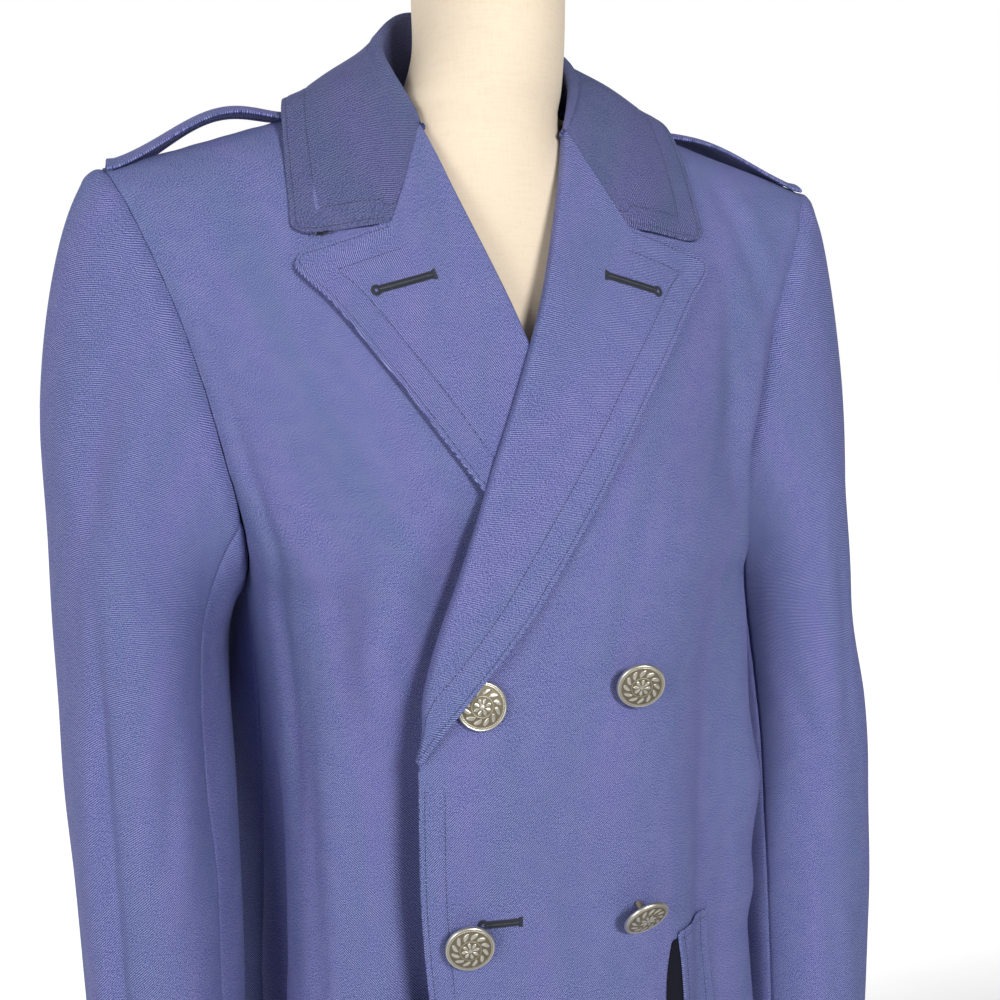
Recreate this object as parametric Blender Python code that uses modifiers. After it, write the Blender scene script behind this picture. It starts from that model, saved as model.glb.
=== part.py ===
"""Double-breasted overcoat standing on a limbless dress form.

Metres, +Z up. The origin is the middle of the stand's underside, on the floor.
The coat faces -Y, and the wearer's left is +X. Every cloth piece is a wall of
one thickness, worked out from the coat's plain surface: level sections from hem
to armpit, and a dome from there up to the shoulder seams.
"""

import math
from collections import namedtuple

import bpy
from mathutils import Matrix, Vector

# ---------------------------------------------------------------- driving sizes

WALL = 0.002                 # cloth, interlining and facing together
SEAM_GAP = 0.0003            # between pieces that are sewn edge to edge
LAY_GAP = 0.0009             # under a piece that lies on another

HEM_Z = 0.380
ARMPIT_Z = 1.185
NECK_POINT = (0.075, 1.501)  # x and z of the shoulder seam at the neck
SHOULDER_TIP = (0.243, 1.448)
RIDGE_Y = 0.010              # the shoulder seam lies just behind the middle

PLAN_POWER = 2.4             # superellipse power of the level sections
FRONT_DOME = 1.15            # how soon the chest leans back towards the seam
BACK_DOME = 3.2
BACK_ROOT = 2.6
NECK_SCOOP = 0.048           # how far the back neckline dips behind the neck points

EDGE_X = 0.080               # front edge past the middle of the front
BREAK_Z = 1.092              # where the lapel starts to roll
GORGE_X = 0.050              # upper end of the roll line, on the neckline
GORGE_Z = 1.474
V_Z = 1.333                  # where the two roll lines cross

OVERLAP_LIFT = 0.0066        # the left front rides over the right one
EDGE_STAND_OFF = 0.0060      # extra at the free edge of the left front

BUTTON_RADIUS = 0.0150
BUTTON_SIDES = 16
BUTTON_LAY_GAP = 0.0005

SHANK_RADIUS = 0.0022

STRAP_OUTER_X = 0.2390
STRAP_FREE_X = 0.128         # from here inwards the strap lies flat under the collar
STRAP_LAY_GAP = 0.0001
STRAP_INNER_X = 0.104
STRAP_WIDTH = 0.050
STRAP_MIDDLE_Y = 0.004
STRAP_TAPER = 0.80
STRAP_ARCH = 0.003
STRAP_BOW_RIGHT = 0.0135
STRAP_BOW_LEFT = 0.0065
STRAP_SKEW = 1.35            # the bow is highest nearer the collar
STRAP_PEAK = 1.4             # and rises more steeply than an arch

WELT_TOP_Z = 0.963
WELT_LENGTH = 0.165
WELT_DROP_RIGHT = 0.027      # the coat's right half hangs this much lower
WELT_TOP_X = 0.083
WELT_LOW_X = 0.098
WELT_WIDTH = 0.034
WELT_GAPE = 0.0030
WELT_LAY_GAP = 0.0018

BASE_RADIUS = 0.175
BASE_TOP_Z = 0.032
POLE_RADIUS = 0.0125
CAP_RADIUS = 0.0475
CAP_X = 0.008
CAP_Y = -0.021
FORM_BOTTOM_Z = 0.800

LEFT = 1
RIGHT = -1
FRONT = -1
BACK = 1

# ------------------------------------------------------------------ short tables

Section = namedtuple("Section", "z half_width front back")
SECTIONS = [
    Section(0.380, 0.232, 0.186, 0.190),
    Section(0.600, 0.204, 0.172, 0.172),
    Section(0.800, 0.169, 0.160, 0.152),
    Section(0.950, 0.160, 0.154, 0.136),
    Section(1.090, 0.158, 0.153, 0.126),
    Section(1.185, 0.164, 0.146, 0.128),
]

# armhole edge by the fraction of the way from armpit to shoulder seam
Armhole = namedtuple("Armhole", "t x front back")
ARMHOLE = [
    Armhole(0.00, 0.1640, 0.0000, 0.0000),
    Armhole(0.05, 0.1650, 0.0300, 0.0340),
    Armhole(0.15, 0.1705, 0.0530, 0.0590),
    Armhole(0.31, 0.1810, 0.0610, 0.0700),
    Armhole(0.47, 0.1920, 0.0590, 0.0710),
    Armhole(0.60, 0.2020, 0.0550, 0.0670),
    Armhole(0.72, 0.2130, 0.0500, 0.0610),
    Armhole(0.82, 0.2230, 0.0440, 0.0530),
    Armhole(0.90, 0.2310, 0.0360, 0.0430),
    Armhole(0.96, 0.2380, 0.0245, 0.0290),
    Armhole(0.99, 0.2415, 0.0125, 0.0145),
    Armhole(1.00, 0.2430, 0.0000, 0.0000),
]

# outline of the lapel from the break to its corner, x past the middle
Edge = namedtuple("Edge", "along x z")
LAPEL_EDGE = [
    Edge(0.00, -0.0798, 1.093),
    Edge(0.08, -0.0705, 1.108),
    Edge(0.17, -0.0500, 1.136),
    Edge(0.25, -0.0310, 1.159),
    Edge(0.38, 0.0000, 1.199),
    Edge(0.55, 0.0420, 1.257),
    Edge(0.72, 0.0790, 1.312),
    Edge(0.88, 0.1150, 1.361),
    Edge(0.96, 0.1345, 1.3815),
    Edge(1.00, 0.1380, 1.391),
]
ROLL_EDGE = [
    Edge(0.00, -0.0800, 1.092),
    Edge(0.25, -0.0640, 1.165),
    Edge(0.45, -0.0380, 1.240),
    Edge(0.68, 0.0010, 1.333),
    Edge(0.85, 0.0300, 1.412),
    Edge(1.00, 0.0500, 1.474),
]
NOTCH = (0.078, 1.411)
COLLAR_CORNER = (0.136, 1.403)

# the collar from the middle of the back to the gorge, on the wearer's left
Collar = namedtuple("Collar", "u seam_x seam_y seam_z fold_x fold_y fold_z edge_x edge_y clear")
COLLAR = [
    Collar(0.00, 0.0000, 0.0552, 1.5020, 0.0000, 0.0650, 1.571, 0.000, 0.098, 0.0050),
    Collar(0.22, 0.0300, 0.0512, 1.5020, 0.0350, 0.0560, 1.569, 0.052, 0.092, 0.0050),
    Collar(0.45, 0.0590, 0.0350, 1.5020, 0.0580, 0.0300, 1.549, 0.098, 0.062, 0.0085),
    Collar(0.62, 0.0720, 0.0095, 1.5020, 0.0660, 0.0040, 1.534, 0.124, 0.014, 0.0115),
    Collar(0.78, 0.0610, -0.0200, 1.4915, 0.0640, -0.0210, 1.514, 0.134, -0.026, 0.0090),
    Collar(0.90, 0.0530, -0.0320, 1.4830, 0.0560, -0.0380, 1.496, 0.136, -0.052, 0.0045),
    Collar(1.00, 0.0480, -0.0400, 1.4750, 0.0500, -0.0430, 1.474, 0.136, -0.068, 0.0030),
]

# sleeve rings from the biceps to the cuff: middle, half sizes, tilt of the ring
Ring = namedtuple("Ring", "z x y half_x half_y tilt")
SLEEVE = [
    Ring(1.200, 0.2310, 0.0160, 0.0560, 0.0860, 0.070),
    Ring(1.130, 0.2310, 0.0020, 0.0555, 0.0830, 0.040),
    Ring(1.050, 0.2290, -0.0180, 0.0535, 0.0780, 0.015),
    Ring(0.960, 0.2265, -0.0330, 0.0510, 0.0730, 0.000),
    Ring(0.880, 0.2250, -0.0430, 0.0490, 0.0690, -0.002),
    Ring(0.815, 0.2240, -0.0490, 0.0480, 0.0670, -0.004),
]

# buttons from top to bottom: x past the middle of the front, the way each face looks,
# and how far its back stands off the cloth
Button = namedtuple("Button", "name x z face_x face_y face_z stand_off")
BUTTONS = [
    Button("button_1_right", -0.0462, 1.1275, -0.160, -0.985, 0.040, 0.0011),
    Button("button_1_left", 0.0500, 1.136, -0.140, -0.930, -0.290, 0.0092),
    Button("button_2_right", -0.0555, 0.985, -0.150, -0.970, -0.190, 0.0042),
    Button("button_2_left", 0.0500, 0.994, 0.130, -0.820, -0.560, 0.0092),
    Button("button_3_right", -0.0520, 0.838, -0.120, -0.970, -0.200, 0.0042),
    Button("button_3_left", 0.0520, 0.842, 0.080, -0.950, -0.300, 0.0060),
]

# soft vertical troughs (out < 0) and flutes (out > 0) of the body's cloth:
# girth is 0 at the middle of the front, 1 at the side and 2 at the middle back,
# and it is negative on the wearer's right
Fold = namedtuple("Fold", "girth_top girth_low z_top z_low width out")
BODY_FOLDS = [
    Fold(0.50, 0.46, 1.20, 0.60, 0.075, -0.0060),
    Fold(0.52, 0.66, 1.41, 1.25, 0.060, -0.0045),
    Fold(-0.52, -0.50, 1.32, 0.84, 0.090, -0.0050),
    Fold(0.70, 0.72, 1.27, 0.98, 0.130, 0.0200),
    Fold(0.72, 0.73, 1.16, 0.76, 0.130, 0.0240),
    Fold(0.71, 0.75, 0.96, 0.30, 0.130, 0.0220),
    Fold(-0.76, -0.72, 0.88, 0.30, 0.110, 0.0120),
    Fold(1.22, 1.26, 1.02, 0.30, 0.120, 0.0130),
    Fold(-1.25, -1.22, 1.00, 0.30, 0.110, 0.0140),
    Fold(1.13, 1.15, 1.215, 0.70, 0.100, 0.0200),
    Fold(-1.13, -1.15, 1.215, 0.70, 0.100, 0.0200),
    Fold(1.64, 1.60, 1.10, 0.30, 0.130, 0.0110),
    Fold(-1.60, -1.66, 1.06, 0.30, 0.130, 0.0120),
    Fold(1.46, 1.42, 0.95, 0.30, 0.090, -0.0090),
    Fold(-1.44, -1.47, 0.98, 0.30, 0.090, -0.0080),
]

# soft troughs and ridges of a sleeve: turn is in degrees from the outer side,
# positive towards the front
Crease = namedtuple("Crease", "turn_top turn_low z_top z_low width out")
SLEEVE_CREASES = [
    Crease(30, 38, 1.30, 1.08, 22, -0.0050),
    Crease(44, 40, 1.16, 0.78, 16, 0.0050),
    Crease(150, 130, 1.20, 1.00, 24, -0.0040),
    Crease(-60, -75, 1.28, 0.92, 26, -0.0050),
    Crease(-120, -110, 1.10, 0.80, 24, -0.0040),
]

# level sections of the dress form
Form = namedtuple("Form", "z half front back power neck_half neck_front neck_back shift")
FORM = [
    Form(0.800, 0.128, 0.112, 0.104, 2.3, 0.060, 0.0, 0.0, 0.000),
    Form(0.900, 0.136, 0.118, 0.110, 2.3, 0.060, 0.0, 0.0, 0.000),
    Form(1.020, 0.124, 0.116, 0.092, 2.2, 0.060, 0.0, 0.0, 0.000),
    Form(1.120, 0.136, 0.124, 0.098, 2.2, 0.060, 0.0, 0.0, 0.000),
    Form(1.200, 0.148, 0.126, 0.106, 2.2, 0.060, 0.0, 0.0, 0.000),
    Form(1.290, 0.160, 0.108, 0.108, 2.1, 0.060, 0.0, 0.0, 0.000),
    Form(1.360, 0.176, 0.086, 0.102, 1.9, 0.060, 0.0, 0.0, 0.000),
    Form(1.410, 0.182, 0.066, 0.088, 1.6, 0.060, 0.030, 0.030, 0.000),
    Form(1.440, 0.172, 0.054, 0.072, 1.4, 0.060, 0.050, 0.044, 0.000),
    Form(1.462, 0.158, 0.044, 0.054, 1.2, 0.058, 0.056, 0.046, 0.000),
    Form(1.4745, 0.149, 0.032, 0.040, 1.1, 0.057, 0.057, 0.045, 0.000),
    Form(1.481, 0.116, 0.024, 0.030, 1.1, 0.0565, 0.058, 0.044, 0.000),
    Form(1.487, 0.080, 0.014, 0.018, 1.1, 0.0560, 0.059, 0.043, 0.000),
    Form(1.493, 0.058, 0.004, 0.005, 1.1, 0.0558, 0.060, 0.042, 0.000),
    Form(1.505, 0.040, 0.0, 0.0, 1.1, 0.0535, 0.063, 0.040, 0.004),
    Form(1.530, 0.040, 0.0, 0.0, 1.1, 0.0505, 0.068, 0.038, 0.008),
    Form(1.565, 0.040, 0.0, 0.0, 1.1, 0.0505, 0.073, 0.034, 0.008),
    Form(1.600, 0.040, 0.0, 0.0, 1.1, 0.0505, 0.075, 0.033, 0.008),
]

# ------------------------------------------------------------- numbers between rows


def blend(a, b, share):
    """The value that lies share of the way from a to b."""
    return a + (b - a) * share


def smooth(share):
    """Ease from 0 to 1 with level ends."""
    share = min(1.0, max(0.0, share))
    return share * share * (3.0 - 2.0 * share)


def between_rows(rows, key, value, column):
    """A column of a table at key, on a smooth curve through its rows."""
    keys = [getattr(row, key) for row in rows]
    heights = [getattr(row, column) for row in rows]
    if value <= keys[0]:
        return heights[0]
    if value >= keys[-1]:
        return heights[-1]
    slopes = []
    for i in range(len(rows)):
        low = max(0, i - 1)
        high = min(len(rows) - 1, i + 1)
        slopes.append((heights[high] - heights[low]) / (keys[high] - keys[low]))
    i = max(k for k in range(len(rows) - 1) if keys[k] <= value)
    span = keys[i + 1] - keys[i]
    s = (value - keys[i]) / span
    start = (1.0 + 2.0 * s) * (1.0 - s) ** 2
    leave = s * (1.0 - s) ** 2
    arrive = s * s * (s - 1.0)
    end = s * s * (3.0 - 2.0 * s)
    return (
        start * heights[i] + leave * span * slopes[i]
        + arrive * span * slopes[i + 1] + end * heights[i + 1]
    )


# ------------------------------------------------------------ the coat's plain surface


def ridge_z(x):
    """Height of the shoulder seam at x."""
    share = (max(abs(x), NECK_POINT[0]) - NECK_POINT[0]) / (SHOULDER_TIP[0] - NECK_POINT[0])
    return blend(NECK_POINT[1], SHOULDER_TIP[1], share)


def ridge_y(face, x):
    """Depth of the shoulder seam at x, and of the back neckline between the neck points."""
    if abs(x) >= NECK_POINT[0]:
        share = (abs(x) - NECK_POINT[0]) / (SHOULDER_TIP[0] - NECK_POINT[0])
        return RIDGE_Y * (1.0 - share)
    if face == FRONT:
        return RIDGE_Y
    return RIDGE_Y + NECK_SCOOP * math.sqrt(1.0 - (x / NECK_POINT[0]) ** 2)


def edge_x(z, t):
    """Half width of the body at z, or of the armhole above the armpit."""
    if t <= 0.0:
        return between_rows(SECTIONS, "z", z, "half_width")
    return between_rows(ARMHOLE, "t", t, "x")


def surface_y(face, x, z, t):
    """Depth of the plain surface, where t is how far z has gone from armpit to seam."""
    s = min(1.0, abs(x) / edge_x(z, t))
    column = "front" if face == FRONT else "back"
    depth = between_rows(SECTIONS, "z", z, column)
    power = blend(PLAN_POWER, 1.0, smooth(t / 0.30))
    fullness = max(0.0, 1.0 - s ** PLAN_POWER) ** (1.0 / power)
    if t <= 0.0:
        return face * depth * fullness
    if face == FRONT:
        dome = max(0.0, 1.0 - t ** FRONT_DOME) ** 0.5
    else:
        dome = max(0.0, 1.0 - t ** BACK_DOME) ** (1.0 / BACK_ROOT)
    top = ridge_y(face, x)
    middle = top + (face * depth - top) * dome
    side = face * between_rows(ARMHOLE, "t", t, column)
    return side + (middle - side) * fullness


def rise(x, z):
    """How far z is from the armpit to the shoulder seam, 0 at or below the armpit."""
    return min(1.0, max(0.0, (z - ARMPIT_Z) / (ridge_z(x) - ARMPIT_Z)))


def level_point(face, x_of, row):
    """Point of the plain surface on a row: 0 hem, 1 armpit, 2 shoulder seam."""
    if row <= 1.0:
        z = blend(HEM_Z, ARMPIT_Z, row)
        x = x_of(edge_x(z, 0.0), z)
        return Vector((x, surface_y(face, x, z, 0.0), z))
    t = row - 1.0
    x = x_of(edge_x(ARMPIT_Z, t), blend(ARMPIT_Z, NECK_POINT[1], t))
    z = blend(ARMPIT_Z, ridge_z(x), t)
    return Vector((x, surface_y(face, x, z, t), z))


def surface_normal(face, x, z):
    """Outward direction of the plain surface away from its side edge."""
    step = 0.002
    x = max(-0.98, min(0.98, x / edge_x(z, rise(x, z)))) * edge_x(z, rise(x, z))
    top = ridge_z(x) - 0.004
    z = min(z, top - step)

    def y_at(px, pz):
        return surface_y(face, px, pz, rise(px, pz))

    across = Vector((2 * step, y_at(x + step, z) - y_at(x - step, z), 0.0))
    up = Vector((0.0, y_at(x, z + step) - y_at(x, z - step), 2 * step))
    out = across.cross(up).normalized()
    return out if out.y * face > 0.0 else -out


def girth(face, x, z):
    """Place round the body: 0 middle front, 1 side, 2 middle back, minus on the right."""
    s = min(1.0, abs(x) / edge_x(z, rise(x, z)))
    quarter = math.asin(s) / (math.pi / 2)
    place = quarter if face == FRONT else 2.0 - quarter
    return math.copysign(place, x) if x else place


def fold_out(face, x, z):
    """How far the troughs and flutes move the cloth out at a place."""
    here = girth(face, x, z)
    total = 0.0
    for fold in BODY_FOLDS:
        down = (fold.z_top - z) / (fold.z_top - fold.z_low)
        if down <= 0.0:
            continue
        middle = blend(fold.girth_top, fold.girth_low, min(1.0, down))
        apart = abs(here - middle)
        apart = min(apart, abs(here - middle - 4.0), abs(here - middle + 4.0))
        swell = smooth(down * 1.6) * (1.0 if fold.z_low < HEM_Z else smooth((1.0 - down) * 4.0))
        total += fold.out * swell * math.exp(-(apart / fold.width) ** 2)
    return total


def overlap_lift(side, x, z):
    """How far the over front stands off, nothing on the under front."""
    if side == RIGHT:
        return 0.0
    near = 1.0 - smooth((x - 0.075) / 0.075)
    low = 1.0 - smooth((z - 1.350) / 0.080)
    edge = smooth((-0.045 - x) / 0.040) * (1.0 - smooth(abs(z - 1.000) / 0.220))
    return OVERLAP_LIFT * near * low + EDGE_STAND_OFF * edge * low


def front_point(side, x, z, out):
    """Point on the left or right front, moved out from it; x is minus past the middle."""
    x = x * side
    t = rise(x, z)
    base = Vector((x, surface_y(FRONT, x, z, t), z))
    move = out + overlap_lift(side, x, z) + fold_out(FRONT, x, z)
    return base + surface_normal(FRONT, x, z) * move


def shoulder_z(x, y):
    """Height of the coat's top at a place seen from above."""
    face = FRONT if y < ridge_y(FRONT, x) else BACK
    low = 0.0
    high = 1.0
    for _ in range(30):
        t = (low + high) / 2
        z = blend(ARMPIT_Z, ridge_z(x), t)
        if (surface_y(face, x, z, t) - y) * face > 0.0:
            low = t
        else:
            high = t
    return blend(ARMPIT_Z, ridge_z(x), high)


def roll_x(z):
    """Where the front's free edge is at z: straight front edge, then the roll line."""
    if z <= BREAK_Z:
        return -EDGE_X
    if z >= GORGE_Z:
        return blend(GORGE_X, NECK_POINT[0], (z - GORGE_Z) / (NECK_POINT[1] - GORGE_Z))
    return between_rows(ROLL_EDGE, "z", z, "x")


# ------------------------------------------------------------------- walls of cloth


def outward(grid, flip):
    """Normals of a grid of points."""
    rows = len(grid)
    columns = len(grid[0])
    normals = []
    for i in range(rows):
        line = []
        for j in range(columns):
            along = grid[i][min(j + 1, columns - 1)] - grid[i][max(j - 1, 0)]
            up = grid[min(i + 1, rows - 1)][j] - grid[max(i - 1, 0)][j]
            line.append((along.cross(up) * flip).normalized())
        normals.append(line)
    return normals


def inner_grid(grid, normals, thickness=WALL):
    """The other face of the wall, moved in along the normals."""
    return [[p - n * thickness for p, n in zip(line, turn)] for line, turn in zip(grid, normals)]


def trim(grid, top=0.0, low=0.0, first=0.0, last=0.0):
    """Draw the edges of a grid back along the cloth by the distances given."""
    grid = [[p.copy() for p in line] for line in grid]
    for line in grid:
        line[0] += (line[1] - line[0]).normalized() * first
        line[-1] += (line[-2] - line[-1]).normalized() * last
    for j in range(len(grid[0])):
        grid[0][j] += (grid[1][j] - grid[0][j]).normalized() * low
        grid[-1][j] += (grid[-2][j] - grid[-1][j]).normalized() * top
    return grid


def wall_mesh(name, outer, inner, flip):
    """Closed mesh between two grids of the same size."""
    rows = len(outer)
    columns = len(outer[0])
    count = rows * columns
    points = [p for line in outer for p in line] + [p for line in inner for p in line]

    def at(i, j, side=0):
        return side * count + i * columns + j

    faces = []
    for i in range(rows - 1):
        for j in range(columns - 1):
            faces.append((at(i, j), at(i, j + 1), at(i + 1, j + 1), at(i + 1, j)))
            faces.append((at(i, j, 1), at(i + 1, j, 1), at(i + 1, j + 1, 1), at(i, j + 1, 1)))
    for j in range(columns - 1):
        faces.append((at(0, j), at(0, j, 1), at(0, j + 1, 1), at(0, j + 1)))
        top = rows - 1
        faces.append((at(top, j), at(top, j + 1), at(top, j + 1, 1), at(top, j, 1)))
    for i in range(rows - 1):
        faces.append((at(i, 0), at(i + 1, 0), at(i + 1, 0, 1), at(i, 0, 1)))
        end = columns - 1
        faces.append((at(i, end), at(i, end, 1), at(i + 1, end, 1), at(i + 1, end)))
    if flip < 0:
        faces = [tuple(reversed(face)) for face in faces]
    mesh = bpy.data.meshes.new(name)
    mesh.from_pydata([tuple(p) for p in points], [], faces)
    mesh.update()
    return mesh


def add_object(name, mesh, material, smooth_angle=40.0):
    """One named object in the coat's collection."""
    mesh.materials.append(material)
    mesh.shade_smooth()
    mesh.set_sharp_from_angle(angle=math.radians(smooth_angle))
    item = bpy.data.objects.new(name, mesh)
    collection.objects.link(item)
    return item


def add_wall(name, outer, inner, flip, material):
    """A cloth piece from its outer and inner points."""
    return add_object(name, wall_mesh(name, outer, inner, flip), material)


def make_material(name, colour, roughness, metallic=0.0):
    """A Principled material of one colour."""
    material = bpy.data.materials.new(name)
    material.use_nodes = True
    shader = material.node_tree.nodes["Principled BSDF"]
    shader.inputs["Base Color"].default_value = (*colour, 1.0)
    shader.inputs["Roughness"].default_value = roughness
    shader.inputs["Metallic"].default_value = metallic
    material.diffuse_color = (*colour, 1.0)
    return material


# --------------------------------------------------------------------- body panels

SKIRT_ROWS = 11
DOME_STEPS = (0.975, 0.92, 0.83, 0.73, 0.63, 0.53, 0.42, 0.31, 0.20, 0.10, 0.0)
FRONT_COLUMNS = 15
NECK_COLUMNS = 4


def panel_rows():
    """Row values from hem to shoulder seam, closer together near the seam."""
    skirt = [i / SKIRT_ROWS for i in range(SKIRT_ROWS + 1)]
    return skirt + [2.0 - step ** 2 for step in DOME_STEPS]


def seam_share(j, columns):
    """Column places between the free edge and the side, close together at the side."""
    return math.sin(math.pi / 2 * j / columns)


def panel_grid(side, face):
    """Outer points of a front or back before the wall and its gaps are made."""
    grid = []
    for row in panel_rows():
        line = []
        if face == BACK:
            neck_share = NECK_POINT[0] / SHOULDER_TIP[0]
            for j in range(NECK_COLUMNS):
                share = neck_share * seam_share(j, NECK_COLUMNS)
                line.append(level_point(face, lambda edge, z, s=share: side * s * edge, row))
        for j in range(FRONT_COLUMNS + 1):
            share = seam_share(j, FRONT_COLUMNS)

            def across(edge, z, share=share):
                start = roll_x(z) if face == FRONT else edge * NECK_POINT[0] / SHOULDER_TIP[0]
                return side * blend(start, edge, share)

            line.append(level_point(face, across, row))
        grid.append(line)
    return grid


def panel_normals(side, face, grid):
    """Normals of a panel, shared with its neighbours along the seams."""
    flip = side if face == FRONT else -side
    normals = outward(grid, flip)
    skirt = SKIRT_ROWS + 1
    for line in normals[:skirt]:
        line[-1] = Vector((line[-1].x, 0.0, line[-1].z)).normalized()
    if face == BACK:
        for line in normals:
            line[0] = Vector((0.0, line[0].y, line[0].z)).normalized()
    return normals


def lifted(side, face, grid, normals):
    """The grid with its folds, and the over front standing off the under one."""
    moved = []
    for line, turn in zip(grid, normals):
        out_line = []
        for p, n in zip(line, turn):
            move = fold_out(face, p.x, p.z)
            if face == FRONT:
                move += overlap_lift(side, p.x, p.z)
            out_line.append(p + n * move)
        moved.append(out_line)
    return moved


def build_panels(cloth):
    """Two fronts and two backs. Returns the armhole edges for the sleeves."""
    armholes = {}
    for side, word in ((LEFT, "left"), (RIGHT, "right")):
        grids = {face: panel_grid(side, face) for face in (FRONT, BACK)}
        normals = {face: panel_normals(side, face, grids[face]) for face in grids}
        for j in range(FRONT_COLUMNS + 1):
            front_n = normals[FRONT][-1][j]
            back_n = normals[BACK][-1][NECK_COLUMNS + j]
            shared = (front_n + back_n).normalized()
            normals[FRONT][-1][j] = shared
            normals[BACK][-1][NECK_COLUMNS + j] = shared
        for face, label in ((FRONT, "front"), (BACK, "back")):
            flip = side if face == FRONT else -side
            outer = lifted(side, face, grids[face], normals[face])
            inner = inner_grid(outer, normals[face])
            armholes[side, face] = (
                [line[-1] for line in outer[SKIRT_ROWS:]],
                [line[-1] for line in inner[SKIRT_ROWS:]],
            )
            half = SEAM_GAP / 2
            gaps = dict(top=half, last=half, first=half if face == BACK else 0.0)
            add_wall(f"{label}_{word}", trim(outer, **gaps), trim(inner, **gaps), flip, cloth)
    return armholes


# -------------------------------------------------------------------------- sleeves

CAP_ROWS = 7
ARM_ROWS = 9
FRONT_SEAM = 2               # armhole points from the armpit to the forearm seam
BACK_SEAM = 3                # and to the elbow seam
CAP_GAP = 0.0004
CAP_PULL_TOP = 0.42          # how far the cloth goes on out of the armhole before it hangs
CAP_PULL_LOW = 0.90


def sleeve_out(turn, z):
    """How far the creases move the sleeve's cloth out."""
    total = 0.0
    for crease in SLEEVE_CREASES:
        down = (crease.z_top - z) / (crease.z_top - crease.z_low)
        if not 0.0 < down < 1.0:
            continue
        middle = blend(crease.turn_top, crease.turn_low, down)
        apart = abs((turn - middle + 180.0) % 360.0 - 180.0)
        swell = smooth(down * 3.0) * smooth((1.0 - down) * 3.0)
        total += crease.out * swell * math.exp(-(apart / crease.width) ** 2)
    return total


def ring_point(side, level, turn):
    """Point of the hanging sleeve: level 0 is the biceps ring and 1 the cuff."""
    z = blend(SLEEVE[0].z, SLEEVE[-1].z, level)
    rows = SLEEVE[::-1]
    place = {name: between_rows(rows, "z", z, name) for name in ("x", "y", "half_x", "half_y", "tilt")}
    angle = math.radians(turn)
    height = z + place["tilt"] * math.cos(angle)
    swell = sleeve_out(turn, height)
    x = place["x"] + (place["half_x"] + swell) * math.cos(angle)
    y = place["y"] - (place["half_y"] + swell) * math.sin(angle)
    return Vector((side * x, y, height))


def ring_turns(ring, top):
    """Angle of each armhole point round the sleeve, by its way along the armhole."""
    lengths = [0.0]
    for a, b in zip(ring, ring[1:] + ring[:1]):
        lengths.append(lengths[-1] + (b - a).length)
    front = lengths[top]
    back = lengths[-1] - front
    turns = [180.0 * (1.0 - run / front) for run in lengths[:top + 1]]
    return turns + [-180.0 * (run - front) / back for run in lengths[top + 1:-1]]


def cap_start(side, turn):
    """Direction and pull of the cloth as it leaves the armhole at a turn."""
    over = (1.0 + math.cos(math.radians(turn))) / 2
    aim = Vector((blend(0.35, 1.0, over) * side, -0.30 * math.sin(math.radians(turn)), 0.0))
    aim.z = blend(-0.75, -0.05, over ** 0.7)
    return aim.normalized() * blend(CAP_PULL_LOW, CAP_PULL_TOP, over)


def sleeve_grid(side, armholes):
    """Outer and inner points of one whole sleeve, ring by ring from the armhole."""
    front_outer, front_inner = armholes[side, FRONT]
    back_outer, back_inner = armholes[side, BACK]
    outer_ring = front_outer + back_outer[-2:0:-1]
    inner_ring = front_inner + back_inner[-2:0:-1]
    turns = ring_turns(outer_ring, len(front_outer) - 1)
    gap = Vector((side * CAP_GAP, 0.0, 0.0))
    grid = []
    for i in range(CAP_ROWS):
        s = i / CAP_ROWS
        line = []
        for p, turn in zip(outer_ring, turns):
            first = p + gap
            target = ring_point(side, 0.0, turn)
            reach = (target - first).length
            leave = cap_start(side, turn) * reach
            hang = (ring_point(side, 0.05, turn) - target).normalized() * reach
            line.append(
                first * ((1 + 2 * s) * (1 - s) ** 2) + leave * (s * (1 - s) ** 2)
                + hang * (s * s * (s - 1)) + target * (s * s * (3 - 2 * s))
            )
        grid.append(line)
    for i in range(ARM_ROWS + 1):
        grid.append([ring_point(side, i / ARM_ROWS, turn) for turn in turns])
    closed = [line[-1:] + line + line[:1] for line in grid]
    normals = [line[1:-1] for line in outward(closed, -side)]
    inner = inner_grid(grid, normals)
    for k, turn in enumerate(turns):
        own = smooth((abs(turn) - 60.0) / 60.0)
        inner[0][k] = (inner_ring[k] + gap).lerp(inner[0][k], own)
    return grid, inner


def build_sleeves(cloth, armholes):
    """Upper and under sleeve on each side."""
    for side, word in ((LEFT, "left"), (RIGHT, "right")):
        outer, inner = sleeve_grid(side, armholes)
        count = len(outer[0])
        upper = list(range(FRONT_SEAM, count - BACK_SEAM + 1))
        under = list(range(count - BACK_SEAM, count)) + list(range(0, FRONT_SEAM + 1))
        half = SEAM_GAP / 2
        for label, columns in (("upper", upper), ("under", under)):
            piece = [[line[j] for j in columns] for line in outer]
            lining = [[line[j] for j in columns] for line in inner]
            add_wall(
                f"sleeve_{label}_{word}", trim(piece, first=half, last=half),
                trim(lining, first=half, last=half), -side, cloth,
            )


# ------------------------------------------------------------------ lapels and collar

LAPEL_ROWS = 14
LAPEL_START = 0.03           # the turned cloth has a width from here on
LAPEL_SOFT_LIFT = 0.0062     # near the break the lapel isn't pressed, and passes over a button
GORGE_COLUMNS = 3
TOP_COLUMNS = 4
ROLL_BULGE = 0.0022          # the turned cloth stands up softly along the roll
ROLL_REACH = 0.016


def overlay_out(distance, bulge=ROLL_BULGE):
    """How high the outer face of a turned piece lies at a distance from its roll."""
    return WALL + LAY_GAP + bulge * math.exp(-(distance / ROLL_REACH) ** 2)


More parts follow.
